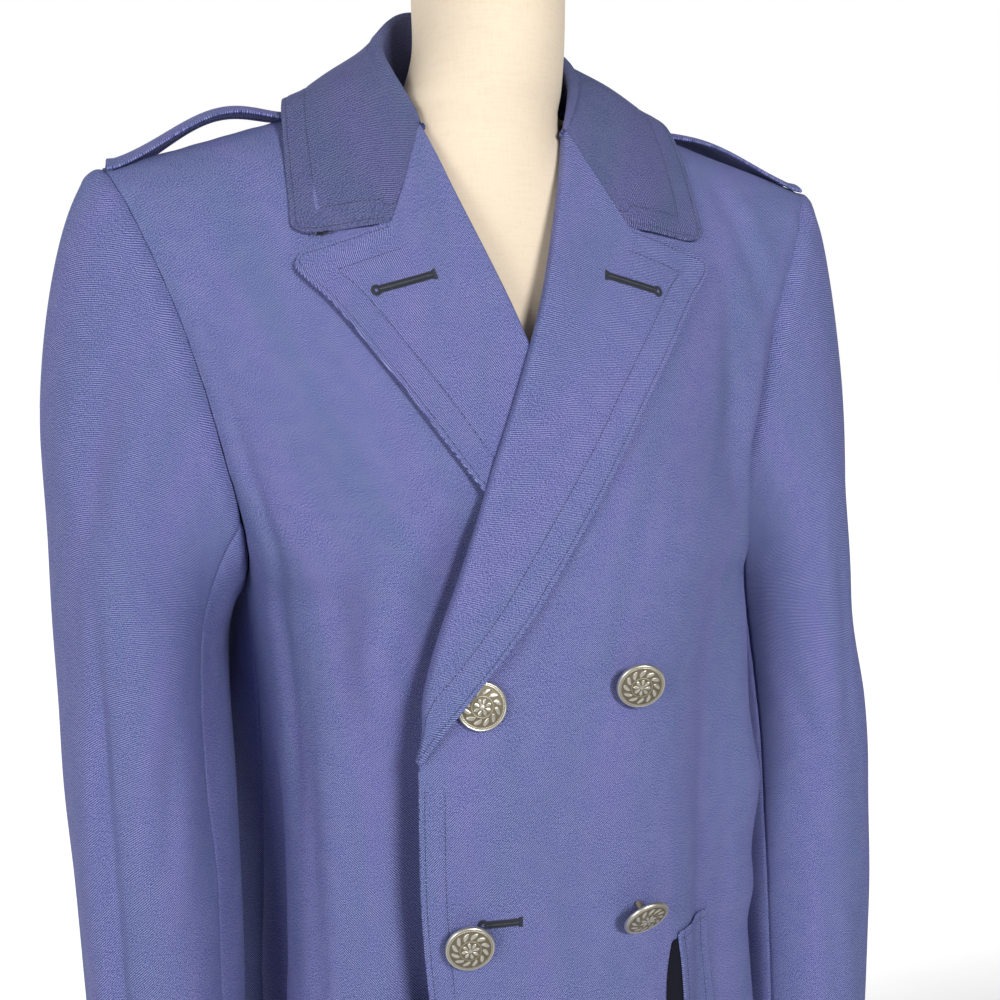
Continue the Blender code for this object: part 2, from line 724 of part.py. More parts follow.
def broken_row(start, notch, corner, step):
    """Points from the roll to the notch and on to the corner, as (x, z)."""
    if step <= GORGE_COLUMNS:
        share = step / GORGE_COLUMNS
        return blend(start[0], notch[0], share), blend(start[1], notch[1], share)
    share = (step - GORGE_COLUMNS) / TOP_COLUMNS
    return blend(notch[0], corner[0], share), blend(notch[1], corner[1], share)


def lapel_grid(side):
    """Outer points of a turned-back lapel, from the break up to the gorge."""
    columns = GORGE_COLUMNS + TOP_COLUMNS
    top_start = (ROLL_EDGE[-1].x, ROLL_EDGE[-1].z)
    corner = (LAPEL_EDGE[-1].x, LAPEL_EDGE[-1].z)
    grid = []
    for i in range(LAPEL_ROWS + 1):
        along = blend(LAPEL_START, 1.0, i / LAPEL_ROWS)
        start = [between_rows(ROLL_EDGE, "along", along, name) for name in ("x", "z")]
        end = [between_rows(LAPEL_EDGE, "along", along, name) for name in ("x", "z")]
        line = []
        for j in range(columns + 1):
            bent = broken_row(top_start, NOTCH, corner, j)
            share = j / columns
            pull = along ** 5
            x = blend(start[0], end[0], share)
            z = blend(start[1], end[1], share)
            x += (bent[0] - blend(top_start[0], corner[0], share)) * pull
            z += (bent[1] - blend(top_start[1], corner[1], share)) * pull
            distance = math.hypot(x - start[0], z - start[1])
            if side == LEFT:
                bulge = ROLL_BULGE
                soft = LAPEL_SOFT_LIFT * (1.0 - smooth((along - 0.16) / 0.30))
            else:
                bulge = ROLL_BULGE * smooth((z - V_Z + 0.02) / 0.05)
                soft = 0.0
            line.append(front_point(side, x, z, overlay_out(distance, bulge) + soft))
        grid.append(line)
    return grid


def build_lapels(cloth):
    """Both turned-back lapels."""
    for side, word in ((LEFT, "left"), (RIGHT, "right")):
        grid = lapel_grid(side)
        normals = outward(grid, side)
        inner = inner_grid(grid, normals)
        half = SEAM_GAP / 2
        add_wall(f"lapel_{word}", trim(grid, top=half), trim(inner, top=half), side, cloth)


COLLAR_STEPS = 13
LEAF_BULGE = 0.003
FOLD_RADIUS = 0.0048
FOLD_ANGLES = (180.0, 120.0, 60.0)
STAND_STEPS = 3
END_TURNS = (22.0, 33.0, 44.0, 55.0, 66.0, 78.0)    # the end wraps the edge of the front
END_REACH = 0.65             # and is flatter than a circle


def folded_row(place):
    """Stand, fold and leaf of the free collar, from the neck seam to the outer edge."""
    seam = Vector((place["seam_x"], place["seam_y"], place["seam_z"]))
    fold = Vector((place["fold_x"], place["fold_y"], place["fold_z"]))
    edge_z = shoulder_z(place["edge_x"], place["edge_y"]) + place["clear"]
    edge = Vector((place["edge_x"], place["edge_y"], edge_z))
    away = Vector((edge.x - fold.x, edge.y - fold.y, 0.0)).normalized()
    up = Vector((0.0, 0.0, 1.0))
    middle = fold - up * FOLD_RADIUS
    inside = middle - away * FOLD_RADIUS
    row = [seam.lerp(inside, k / STAND_STEPS) for k in range(STAND_STEPS)]
    for angle in FOLD_ANGLES:
        turn = math.radians(angle)
        row.append(middle + (away * math.cos(turn) + up * math.sin(turn)) * FOLD_RADIUS)
    start = middle + away * FOLD_RADIUS
    columns = GORGE_COLUMNS + TOP_COLUMNS
    for j in range(columns + 1):
        share = j / columns
        bulge = LEAF_BULGE * 4.0 * share * (1.0 - share)
        row.append(start.lerp(edge, share) + (away * 0.6 + up * 0.8) * bulge)
    return row


def flat_row():
    """End of the collar, lying on the left front along the gorge seam."""
    columns = GORGE_COLUMNS + TOP_COLUMNS
    leaf = []
    for j in range(columns + 1):
        x, z = broken_row((GORGE_X, GORGE_Z), NOTCH, COLLAR_CORNER, j)
        distance = math.hypot(x - GORGE_X, z - GORGE_Z)
        leaf.append(front_point(LEFT, x, z, overlay_out(distance)))
    middle = front_point(LEFT, GORGE_X, GORGE_Z, -WALL / 2)
    over = leaf[0] - middle
    back = Vector((-1.0, 0.0, 0.0))
    back = (back - over * (back.dot(over) / over.length_squared)).normalized() * over.length * END_REACH
    wrap = []
    for angle in END_TURNS:
        turn = math.radians(angle)
        wrap.append(middle + back * math.cos(turn) + over * math.sin(turn))
    return wrap + leaf


def collar_row(u):
    """Outer points across the collar at u, on the wearer's left."""
    place = {name: between_rows(COLLAR, "u", u, name) for name in Collar._fields[1:]}
    free = folded_row(place)
    onto = smooth((u - 0.74) / 0.26)
    return [a.lerp(b, onto) for a, b in zip(free, flat_row())]


def build_collar(cloth):
    """Stand and fall in one, from gorge to gorge round the back of the neck."""
    left = [collar_row(k / COLLAR_STEPS) for k in range(COLLAR_STEPS + 1)]
    right = [[Vector((-p.x, p.y, p.z)) for p in row] for row in left[:0:-1]]
    grid = right + left
    normals = outward(grid, 1)
    inner = inner_grid(grid, normals)
    half = SEAM_GAP / 2
    add_wall("collar", trim(grid, top=half, low=half), trim(inner, top=half, low=half), 1, cloth)


# ------------------------------------------------------ shoulder straps and pocket welts

STRAP_STEPS = 9
STRAP_COLUMNS = 3


def build_straps(cloth):
    """Shoulder straps from under the collar to the sleeve seam."""
    for side, word in ((LEFT, "left"), (RIGHT, "right")):
        bow = STRAP_BOW_LEFT if side == LEFT else STRAP_BOW_RIGHT
        grid = []
        for i in range(STRAP_STEPS + 1):
            along = i / STRAP_STEPS
            x = blend(STRAP_OUTER_X, STRAP_INNER_X, along)
            half = blend(STRAP_WIDTH, STRAP_WIDTH * STRAP_TAPER, along) / 2
            free = min(1.0, (STRAP_OUTER_X - x) / (STRAP_OUTER_X - STRAP_FREE_X))
            lift = bow * math.sin(math.pi * free ** STRAP_SKEW) ** STRAP_PEAK
            back_z = shoulder_z(x, STRAP_MIDDLE_Y + half)
            front_z = shoulder_z(x, STRAP_MIDDLE_Y - half)
            line = []
            for j in range(STRAP_COLUMNS + 1):
                share = j / STRAP_COLUMNS
                y = STRAP_MIDDLE_Y + half * (1.0 - 2.0 * share)
                arch = STRAP_ARCH * 4.0 * share * (1.0 - share)
                top = max(blend(back_z, front_z, share) + arch, shoulder_z(x, y))
                line.append(Vector((x * side, y, top + lift + WALL + STRAP_LAY_GAP)))
            grid.append(line)
        normals = outward(grid, side)
        add_wall(f"epaulette_{word}", grid, inner_grid(grid, normals), side, cloth)


WELT_ROWS = 8
WELT_COLUMNS = 3


def build_welts(cloth):
    """Slanting pocket welts, their mouth edge standing a little off the front."""
    for side, word in ((LEFT, "left"), (RIGHT, "right")):
        top_z = WELT_TOP_Z if side == LEFT else WELT_TOP_Z - WELT_DROP_RIGHT
        grid = []
        for i in range(WELT_ROWS + 1):
            along = i / WELT_ROWS
            z = top_z - WELT_LENGTH * (1.0 - along)
            start = blend(WELT_LOW_X, WELT_TOP_X, along)
            line = []
            for j in range(WELT_COLUMNS + 1):
                share = j / WELT_COLUMNS
                gape = WELT_GAPE * math.sin(math.pi * along) * (1.0 - share)
                out = WALL + WELT_LAY_GAP + gape
                line.append(front_point(side, start + WELT_WIDTH * share, z, out))
            grid.append(line)
        normals = outward(grid, side)
        add_wall(f"pocket_welt_{word}", grid, inner_grid(grid, normals), side, cloth)


# ---------------------------------------------------------------------------- buttons


def turned(name, profile, sides, material, smooth_angle=40.0):
    """A solid turned round its own Z from (radius, height) points, bottom to top."""
    mesh = bpy.data.meshes.new(name)
    points = [(radius, 0.0, height) for radius, height in reversed(profile)]
    edges = [(k, k + 1) for k in range(len(points) - 1)]
    mesh.from_pydata(points, edges, [])
    item = add_object(name, mesh, material, smooth_angle)
    screw = item.modifiers.new("turned", "SCREW")
    screw.axis = "Z"
    screw.steps = sides
    screw.render_steps = sides
    screw.use_merge_vertices = True
    screw.merge_threshold = 0.00001
    screw.use_smooth_shade = True
    return item


def button_profile(stand_off):
    """Shank, flat back, rim and domed face of a button; height 0 is its back."""
    r = BUTTON_RADIUS
    return [
        (0.0, -stand_off), (SHANK_RADIUS, -stand_off), (SHANK_RADIUS, 0.0),
        (0.82 * r, 0.0), (r, 0.0013), (0.97 * r, 0.0025), (0.86 * r, 0.0028),
        (0.60 * r, 0.0040), (0.0, 0.0048),
    ]


def build_buttons(metal):
    """Two columns of shank buttons on the over front, each leaning its own way."""
    for button in BUTTONS:
        facing = Vector((button.face_x, button.face_y, button.face_z)).normalized()
        normal = surface_normal(FRONT, button.x, button.z)
        foot = SHANK_RADIUS * math.sqrt(max(0.0, 1.0 - facing.dot(normal) ** 2))
        seat = front_point(LEFT, button.x, button.z, BUTTON_LAY_GAP + foot)
        turn = facing.to_track_quat("Z", "Y").to_matrix().to_4x4()
        item = turned(button.name, button_profile(button.stand_off), BUTTON_SIDES, metal)
        item.matrix_world = Matrix.Translation(seat + facing * button.stand_off) @ turn


# --------------------------------------------------------------------- form and stand

FORM_COLUMNS = 28
FORM_LEVELS = (
    0.800, 0.860, 0.920, 0.980, 1.040, 1.100, 1.160, 1.220, 1.280, 1.340, 1.385, 1.420,
    1.445, 1.462, 1.4745, 1.479, 1.483, 1.487, 1.492, 1.500, 1.520, 1.550, 1.600,
)
JOIN_POWER = 5.0


def form_point(z, turn):
    """Point of the dress form at a height; turn runs once round from the side."""
    row = {name: between_rows(FORM, "z", z, name) for name in Form._fields[1:]}
    half = max(row["half"], row["neck_half"])
    x = half * math.cos(turn)
    facing = math.sin(turn)
    word = "front" if facing > 0.0 else "back"
    inside = min(1.0, abs(x) / row["half"])
    body = row[word] * max(0.0, 1.0 - inside ** row["power"]) ** (1.0 / row["power"])
    inside = min(1.0, abs(x) / row["neck_half"])
    neck = row["neck_" + word] * math.sqrt(max(0.0, 1.0 - inside ** 2))
    depth = (body ** JOIN_POWER + neck ** JOIN_POWER) ** (1.0 / JOIN_POWER)
    return Vector((x + row["shift"], -math.copysign(depth, facing), z))


def build_form(linen, wood):
    """Linen-covered torso and neck in one smooth body, and its neck cap."""
    rings = []
    for z in FORM_LEVELS:
        turns = [2.0 * math.pi * (k + 0.5) / FORM_COLUMNS for k in range(FORM_COLUMNS)]
        rings.append([form_point(z, turn) for turn in turns])
    points = [tuple(p) for ring in rings for p in ring]
    faces = []
    for i in range(len(rings) - 1):
        for k in range(FORM_COLUMNS):
            a = i * FORM_COLUMNS + k
            b = i * FORM_COLUMNS + (k + 1) % FORM_COLUMNS
            faces.append((b, a, a + FORM_COLUMNS, b + FORM_COLUMNS))
    faces.append(tuple(range(FORM_COLUMNS)))
    last = (len(rings) - 1) * FORM_COLUMNS
    faces.append(tuple(reversed(range(last, last + FORM_COLUMNS))))
    mesh = bpy.data.meshes.new("form_torso")
    mesh.from_pydata(points, [], faces)
    add_object("form_torso", mesh, linen, 50.0)
    top = FORM_LEVELS[-1] + SEAM_GAP
    cap = turned("form_cap", [
        (0.0, top), (CAP_RADIUS, top), (CAP_RADIUS, top + 0.006),
        (0.85 * CAP_RADIUS, top + 0.013), (0.45 * CAP_RADIUS, top + 0.018), (0.0, top + 0.020),
    ], 24, wood)
    cap.location = (CAP_X, CAP_Y, 0.0)


def build_stand(steel):
    """Pole and round base under the form."""
    turned("stand_base", [
        (0.0, 0.0), (BASE_RADIUS, 0.0), (BASE_RADIUS, 0.006), (0.95 * BASE_RADIUS, 0.011),
        (0.35 * BASE_RADIUS, 0.020), (0.16 * BASE_RADIUS, BASE_TOP_Z), (0.0, BASE_TOP_Z),
    ], 32, steel)
    turned("stand_pole", [
        (0.0, BASE_TOP_Z + SEAM_GAP), (POLE_RADIUS, BASE_TOP_Z + SEAM_GAP),
        (POLE_RADIUS, FORM_BOTTOM_Z - SEAM_GAP), (0.0, FORM_BOTTOM_Z - SEAM_GAP),
    ], 16, steel)


def main():
    """Clear the scene and build every piece."""
    cloth = make_material("navy_gabardine", (0.115, 0.118, 0.330), 0.85)
    collar_cloth = make_material("navy_gabardine_collar", (0.100, 0.103, 0.300), 0.85)
    silver = make_material("antiqued_silver", (0.560, 0.540, 0.480), 0.35, 1.0)
    linen = make_material("cream_linen", (0.830, 0.760, 0.640), 0.90)
    wood = make_material("beech", (0.520, 0.340, 0.180), 0.50)
    steel = make_material("black_steel", (0.030, 0.030, 0.032), 0.45, 0.6)
    armholes = build_panels(cloth)
    build_sleeves(cloth, armholes)
    build_lapels(collar_cloth)
    build_collar(collar_cloth)
    build_straps(cloth)
    build_welts(cloth)
    build_buttons(silver)
    build_form(linen, wood)
    build_stand(steel)


for old in list(bpy.data.objects):
    bpy.data.objects.remove(old, do_unlink=True)
collection = bpy.data.collections.new("double_breasted_overcoat")
bpy.context.scene.collection.children.link(collection)
main()
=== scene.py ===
"""Double-breasted overcoat of navy gabardine on a limbless linen dress form.

Metres, +Z up. The coat faces -Y and the wearer's left is +X, in the frame of the
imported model. Each cloth piece is a thin wall worked out on the coat's plain
surface, then creased, dipped at its seams and stitched.
"""

import logging
import math
from collections import namedtuple
from dataclasses import dataclass, field
from enum import Enum

import bpy
import numpy as np
from mathutils import Matrix, Vector


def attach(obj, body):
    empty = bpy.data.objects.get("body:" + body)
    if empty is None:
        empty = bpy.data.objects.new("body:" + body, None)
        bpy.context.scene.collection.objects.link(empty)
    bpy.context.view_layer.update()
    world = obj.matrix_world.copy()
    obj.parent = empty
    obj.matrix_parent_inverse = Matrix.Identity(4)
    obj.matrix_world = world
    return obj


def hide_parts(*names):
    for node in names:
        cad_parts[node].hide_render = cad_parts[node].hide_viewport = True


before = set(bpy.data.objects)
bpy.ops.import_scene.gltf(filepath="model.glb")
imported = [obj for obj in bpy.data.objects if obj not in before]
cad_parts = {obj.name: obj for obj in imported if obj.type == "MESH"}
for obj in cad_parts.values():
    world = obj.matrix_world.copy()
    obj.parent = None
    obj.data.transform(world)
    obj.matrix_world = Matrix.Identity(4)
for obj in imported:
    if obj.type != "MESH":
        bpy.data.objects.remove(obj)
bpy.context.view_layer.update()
log = logging.getLogger("overcoat")

Array = np.ndarray
Material = bpy.types.Material
Node = bpy.types.Node
NodeTree = bpy.types.NodeTree
Object = bpy.types.Object


# ---- named options


class Face(Enum):
    """Which half of the coat a point lies on."""

    FRONT = -1
    BACK = 1


class Side(Enum):
    """The wearer's left or right."""

    LEFT = 1
    RIGHT = -1

    @property
    def word(self) -> str:
        """The side's name as the pieces write it."""
        return self.name.lower()


# ---- numbers and tables


def blend(a: float | Array, b: float | Array, share: float | Array) -> float | Array:
    """Give the value that lies a share of the way from a to b.

    Args:
        a: Number, array or vector at share 0.
        b: The same at share 1.
        share: Number or array.

    Returns:
        The value between them.
    """
    return a + (b - a) * share


def smooth(share: Array) -> Array:
    """Ease from 0 to 1 with level ends."""
    share = np.clip(share, 0.0, 1.0)
    return share * share * (3.0 - 2.0 * share)


def bump(distance: Array, reach: float) -> Array:
    """Give a soft hill of height 1 that falls away over the reach."""
    return np.exp(-((distance / reach) ** 2))


def hermite(s: Array, start: Array, leave: Array, arrive: Array, end: Array) -> Array:
    """Run on a cubic from start to end, with the slopes given there.

    Args:
        s: Share of the way.
        start: Value at 0.
        leave: Slope at 0.
        arrive: Slope at 1.
        end: Value at 1.

    Returns:
        The values at s.
    """
    return (
        start * ((1 + 2 * s) * (1 - s) ** 2) + leave * (s * (1 - s) ** 2)
        + arrive * (s * s * (s - 1)) + end * (s * s * (3 - 2 * s))
    )


def between_rows(rows: list, key: str, value: Array, column: str) -> Array:
    """Read a table's column on a smooth curve through its rows.

    Args:
        rows: Named tuples, in the order of their key.
        key: Column that orders the rows.
        value: Where to read, of any shape.
        column: Column to read.

    Returns:
        The column's value at each place.
    """
    keys, heights = np.array([(getattr(row, key), getattr(row, column)) for row in rows]).T
    slopes = np.gradient(heights) / np.gradient(keys)
    place = np.clip(value, keys[0], keys[-1])
    i = np.clip(np.searchsorted(keys, place, side="right") - 1, 0, len(keys) - 2)
    span = keys[i + 1] - keys[i]
    return hermite(
        (place - keys[i]) / span, heights[i], span * slopes[i], span * slopes[i + 1], heights[i + 1],
    )


def unit(vectors: Array) -> Array:
    """Scale vectors to length 1."""
    return vectors / np.maximum(np.linalg.norm(vectors, axis=-1, keepdims=True), 1e-12)


Section = namedtuple("Section", "z half_width front back")
Armhole = namedtuple("Armhole", "t x front back")
Edge = namedtuple("Edge", "along x z")
CollarRow = namedtuple(
    "CollarRow", "u seam_x seam_y seam_z fold_x fold_y fold_z edge_x edge_y clear"
)
Ring = namedtuple("Ring", "z x y half_x half_y tilt")
Fold = namedtuple("Fold", "girth_top girth_low z_top z_low width out")
Crease = namedtuple("Crease", "turn_top turn_low z_top z_low width out")
Line = namedtuple("Line", "x_top z_top x_low z_low width out")
Form = namedtuple(
    "Form", "z half front back power neck_half neck_front neck_back shift", defaults=(0.060, 0.0, 0.0, 0.0)
)
Button = namedtuple("Button", "name x z face_x face_y face_z stand_off")


# ---- colours and nodes


def linear(code: str, alpha: float = 1.0) -> tuple[float, float, float, float]:
    """Turn an sRGB hex colour to Blender's linear one.

    Args:
        code: Six hex digits with a leading hash.
        alpha: Fourth value.

    Returns:
        Linear red, green and blue, and alpha.
    """
    values = [int(code[i:i + 2], 16) / 255.0 for i in (1, 3, 5)]
    turned = [v / 12.92 if v <= 0.04045 else ((v + 0.055) / 1.055) ** 2.4 for v in values]
    return turned[0], turned[1], turned[2], alpha


def set_node(node: Node, settings: dict, links: dict) -> None:
    """Set a shader node and link its inputs.

    Args:
        node: Node of a material or of the sky.
        settings: Property names, or input names or numbers, to their values. For a
            colour ramp, stops holds pairs of position and hex colour.
        links: Input names or numbers to the nodes, or output sockets, that feed them.
    """
    for name, value in settings.items():
        if name == "stops":
            elements = node.color_ramp.elements
            while len(elements) < len(value):
                elements.new(0.5)
            for element, (position, code) in zip(elements, value):
                element.position = position
                element.color = linear(code)
        elif isinstance(name, str) and hasattr(node, name):
            setattr(node, name, value)
        else:
            node.inputs[name].default_value = value
    for name, source in links.items():
        socket = source.outputs[0] if isinstance(source, Node) else source
        node.id_data.links.new(socket, node.inputs[name])


def add_node(tree: NodeTree, kind: str, settings: dict, links: dict) -> Node:
    """Add a shader node with its settings and links.

    Args:
        tree: Node tree of a material or of the sky.
        kind: Blender's name of the node type, without its ShaderNode prefix.
        settings: As set_node takes them.
        links: The same.

    Returns:
        The new node.
    """
    node = tree.nodes.new("ShaderNode" + kind)
    set_node(node, settings, links)
    return node


class Finish:
    """What every finish does: a class of its own gives the name and the nodes."""

    name: str

    def material(self) -> Material:
        """Build the node material that shade describes.

        Returns:
            The new material.
        """
        material = bpy.data.materials.new(self.name)
        material.use_nodes = True
        set_node(material.node_tree.nodes["Principled BSDF"], *self.shade(material.node_tree))
        return material


# ---- finishes


@dataclass(frozen=True)
class Gabardine(Finish):
    """Polyester and wool gabardine, woven as a fine twill and lightly pressed.

    The close twill gives the eye fine slanting lines, flecks of lighter yarn
    between darker ones, and a matt face that turns from violet to grey blue in
    soft streaks along the warp, with a faint bloom at grazing angles.
    """

    name: str = "navy_gabardine"
    yarn: str = "#676EA3"
    light_yarn: str = "#A6ADDC"
    dark_yarn: str = "#30355E"
    violet: str = "#F6EAFF"
    grey_blue: str = "#DDE8F0"
    bloom: str = "#A6ABE0"
    twill_pitch: float = 0.00110    # real lines lie 0.8 mm apart: coarser, to show at all
    fleck_size: float = 0.00052     # a real yarn is 0.3 mm wide: coarser for the same reason
    roughness: float = 0.88
    sheen: float = 0.12
    relief: float = 0.00010

    def shade(self, tree: NodeTree) -> tuple[dict, dict]:
        """Weave the twill on a UV map in metres, and give the shader's settings and links.

        Args:
            tree: Node tree of the material.

        Returns:
            Settings and links of the Principled shader.
        """
        uv = add_node(tree, "UVMap", {"uv_map": "cloth"}, {})
        split = add_node(tree, "SeparateXYZ", {}, {"Vector": uv})
        slant = add_node(
            tree, "Math", {"operation": "SUBTRACT"}, {0: split.outputs["X"], 1: split.outputs["Y"]},
        )
        angle = math.tau * math.sqrt(0.5) / self.twill_pitch
        turns = add_node(tree, "Math", {"operation": "MULTIPLY", 1: angle}, {0: slant})
        line = add_node(tree, "Math", {"operation": "SINE"}, {0: turns})
        stretch = add_node(
            tree, "Mapping", {"Scale": (1.0 / self.fleck_size, 0.62 / self.fleck_size, 1.0)}, {"Vector": uv},
        )
        fleck = add_node(
            tree, "TexNoise", {"Scale": 1.0, "Detail": 2.0, "Roughness": 0.7}, {"Vector": stretch},
        )
        patch = add_node(tree, "TexNoise", {"Scale": 75.0, "Detail": 1.0}, {"Vector": uv})
        showing = add_node(
            tree, "MapRange", {"From Min": 0.40, "From Max": 0.62, "To Min": 0.05, "To Max": 0.15},
            {"Value": patch},
        )
        level = add_node(tree, "Math", {"operation": "MULTIPLY_ADD"}, {0: line, 1: showing, 2: fleck})
        weave = add_node(tree, "ValToRGB", {
            "stops": ((0.36, self.dark_yarn), (0.50, self.yarn), (0.64, self.light_yarn)),
        }, {"Fac": level})
        streak = add_node(tree, "Mapping", {"Scale": (26.0, 3.2, 1.0)}, {"Vector": uv})
        cloud = add_node(
            tree, "TexNoise", {"Scale": 1.0, "Detail": 3.0, "Roughness": 0.55}, {"Vector": streak},
        )
        tone = add_node(
            tree, "ValToRGB", {"stops": ((0.36, self.grey_blue), (0.62, self.violet))}, {"Fac": cloud},
        )
        mixed = add_node(
            tree, "MixRGB", {"blend_type": "MULTIPLY", "Fac": 0.75}, {"Color1": weave, "Color2": tone},
        )
        raised = add_node(tree, "Bump", {"Strength": 0.16, "Distance": self.relief}, {"Height": level})
        return {
            "Roughness": self.roughness, "Sheen Weight": self.sheen, "Sheen Roughness": 0.45,
            "Sheen Tint": linear(self.bloom), "Specular IOR Level": 0.25,
        }, {"Base Color": mixed, "Normal": raised}


@dataclass(frozen=True)
class TwoTone(Finish):
    """A finish of two tones in soft spots or grain, with a low relief where it has one."""

    name: str
    light: str
    dark: str
    stops: tuple = (0.35, 0.65)
    spots: tuple = (0.001, 0.001, 0.001)    # size of a spot each way, in metres
    detail: float = 2.0
    coarseness: float = 0.5
    strength: float = 0.0
    relief: float = 0.0001
    gloss: tuple = ()                       # pairs of a shader input and its value

    def shade(self, tree: NodeTree) -> tuple[dict, dict]:
        """Spread the two tones, and give the shader's settings and links.

        Args:
            tree: Node tree of the material.

        Returns:
            Settings and links of the Principled shader.
        """
        place = add_node(tree, "TexCoord", {}, {}).outputs["Object"]
        scale = tuple(1.0 / size for size in self.spots)
        mapped = add_node(tree, "Mapping", {"Scale": scale}, {"Vector": place})
        settings = {"Scale": 1.0, "Detail": self.detail, "Roughness": self.coarseness}
        noise = add_node(tree, "TexNoise", settings, {"Vector": mapped})
        stops = tuple(zip(self.stops, (self.dark, self.light)))
        links = {"Base Color": add_node(tree, "ValToRGB", {"stops": stops}, {"Fac": noise})}
        if self.strength:
            raised = {"Strength": self.strength, "Distance": self.relief}
            links["Normal"] = add_node(tree, "Bump", raised, {"Height": noise})
        return dict(self.gloss), links


@dataclass(frozen=True)
class SewingThread(TwoTone):
    """Spun polyester thread, twisted and dull, with a fine rope look."""

    spots: tuple = (0.0006, 0.0006, 0.0006)
    strength: float = 0.4
    gloss: tuple = (("Roughness", 0.75), ("Sheen Weight", 0.2))


@dataclass(frozen=True)
class PaintedSteel(TwoTone):
    """Turned steel under satin black powder coat, with its faint orange peel."""

    name: str = "black_powder_coat"
    light: str = "#26262A"
    dark: str = "#202024"
    stops: tuple = (0.35, 0.70)
    spots: tuple = (0.0022, 0.0022, 0.0022)
    strength: float = 0.15
    relief: float = 0.0002
    gloss: tuple = (("Roughness", 0.42),)


@dataclass(frozen=True)
class Beech(TwoTone):
    """Steamed beech, turned and varnished: pink-brown with short dark flecks."""

    name: str = "varnished_beech"
    light: str = "#C79A6B"
    dark: str = "#A87748"
    spots: tuple = (0.003, 0.0375, 0.003)
    detail: float = 4.0
    coarseness: float = 0.6
    gloss: tuple = (("Roughness", 0.38), ("Coat Weight", 0.4))


@dataclass(frozen=True)
class Linen(Finish):
    """Unbleached linen, plain woven and stretched over the form.

    It gives the eye a cream ground with slubs: thicker yarns that run level and
    upright in short lengths.
    """

    name: str = "cream_linen"
    ground: str = "#F6E4CA"
    slub: str = "#F2DEC2"
    yarn_pitch: float = 0.0012      # real yarns lie 0.6 mm apart: coarser, to show at all

    def shade(self, tree: NodeTree) -> tuple[dict, dict]:
        """Cross level and upright yarns, and give the shader's settings and links.

        Args:
            tree: Node tree of the material.

        Returns:
            Settings and links of the Principled shader.
        """
        place = add_node(tree, "TexCoord", {}, {}).outputs["Object"]
        yarns = {}
        for number, stretch in enumerate(((1.0, 1.0, 0.09), (0.09, 0.09, 1.0))):
            scale = tuple(value / self.yarn_pitch for value in stretch)
            mapped = add_node(tree, "Mapping", {"Scale": scale}, {"Vector": place})
            yarns[number] = add_node(tree, "TexNoise", {"Scale": 1.0, "Detail": 2.0}, {"Vector": mapped})
        both = add_node(tree, "Math", {"operation": "ADD"}, yarns)
        half = add_node(tree, "Math", {"operation": "MULTIPLY", 1: 0.5}, {0: both})
        colours = add_node(
            tree, "ValToRGB", {"stops": ((0.36, self.slub), (0.52, self.ground))}, {"Fac": half},
        )
        raised = add_node(tree, "Bump", {"Strength": 0.5, "Distance": 0.0004}, {"Height": half})
        return {"Roughness": 0.92, "Sheen Weight": 0.15}, {"Base Color": colours, "Normal": raised}


@dataclass(frozen=True)
class AntiquedSilver(Finish):
    """Silver-plated brass, die struck, blackened and rubbed back.

    Raised parts are rubbed bright and the hollows keep a brown-black tarnish.
    """

    name: str = "antiqued_silver"
    bright: str = "#E6E2D6"
    dull: str = "#BDB6A4"
    tarnish: str = "#8F8672"
    roughness: float = 0.34

    def shade(self, tree: NodeTree) -> tuple[dict, dict]:
        """Darken the plate in its hollows, and give the shader's settings and links.

        Args:
            tree: Node tree of the material.

        Returns:
            Settings and links of the Principled shader.
        """
        place = add_node(tree, "TexCoord", {}, {}).outputs["Object"]
        shape = add_node(tree, "Attribute", {"attribute_name": "relief"}, {})
        grime = add_node(tree, "TexNoise", {"Scale": 900.0, "Detail": 3.0}, {"Vector": place})
        hollow = add_node(
            tree, "Math", {"operation": "MULTIPLY_ADD", 1: 0.30}, {0: grime, 2: shape.outputs["Fac"]},
        )
        colours = add_node(tree, "ValToRGB", {
            "stops": ((0.22, self.tarnish), (0.48, self.dull), (0.80, self.bright)),
        }, {"Fac": hollow})
        rough = add_node(
            tree, "MapRange", {"From Min": 0.20, "From Max": 0.80, "To Min": 0.62, "To Max": self.roughness},
            {"Value": hollow},
        )
        return {"Metallic": 1.0}, {"Base Color": colours, "Roughness": rough}


@dataclass(frozen=True)
class PaleFloor(Finish):
    """Matt white studio paper, with a hardly visible mottle, whose back glows: painted light, an emission
    that also lights the coat from below.
    """

    name: str = "studio_paper"
    light: str = "#E4E4E4"
    dark: str = "#DEDEDE"
    glow: float = 0.90

    def shade(self, tree: NodeTree) -> tuple[dict, dict]:
        """Mottle the paper and make its back glow with painted light, and give the shader's settings and
        links.

        Args:
            tree: Node tree of the material.

        Returns:
            Settings and links of the Principled shader.
        """
        place = add_node(tree, "TexCoord", {}, {}).outputs["Object"]
        noise = add_node(tree, "TexNoise", {"Scale": 3.0}, {"Vector": place})
        colours = add_node(
            tree, "ValToRGB", {"stops": ((0.3, self.dark), (0.7, self.light))}, {"Fac": noise},
        )
        split = add_node(tree, "SeparateXYZ", {}, {"Vector": place})
        # painted light: the paper glows more the further back it lies
        behind = add_node(
            tree, "MapRange", {"From Min": 0.5, "From Max": 1.6, "To Min": 0.0, "To Max": self.glow},
            {"Value": split.outputs["Y"]},
        )
        return {"Roughness": 0.9, "Emission Color": linear("#FFFFFF")}, {
            "Base Color": colours, "Emission Strength": behind,
        }


# ---- the coat's surface

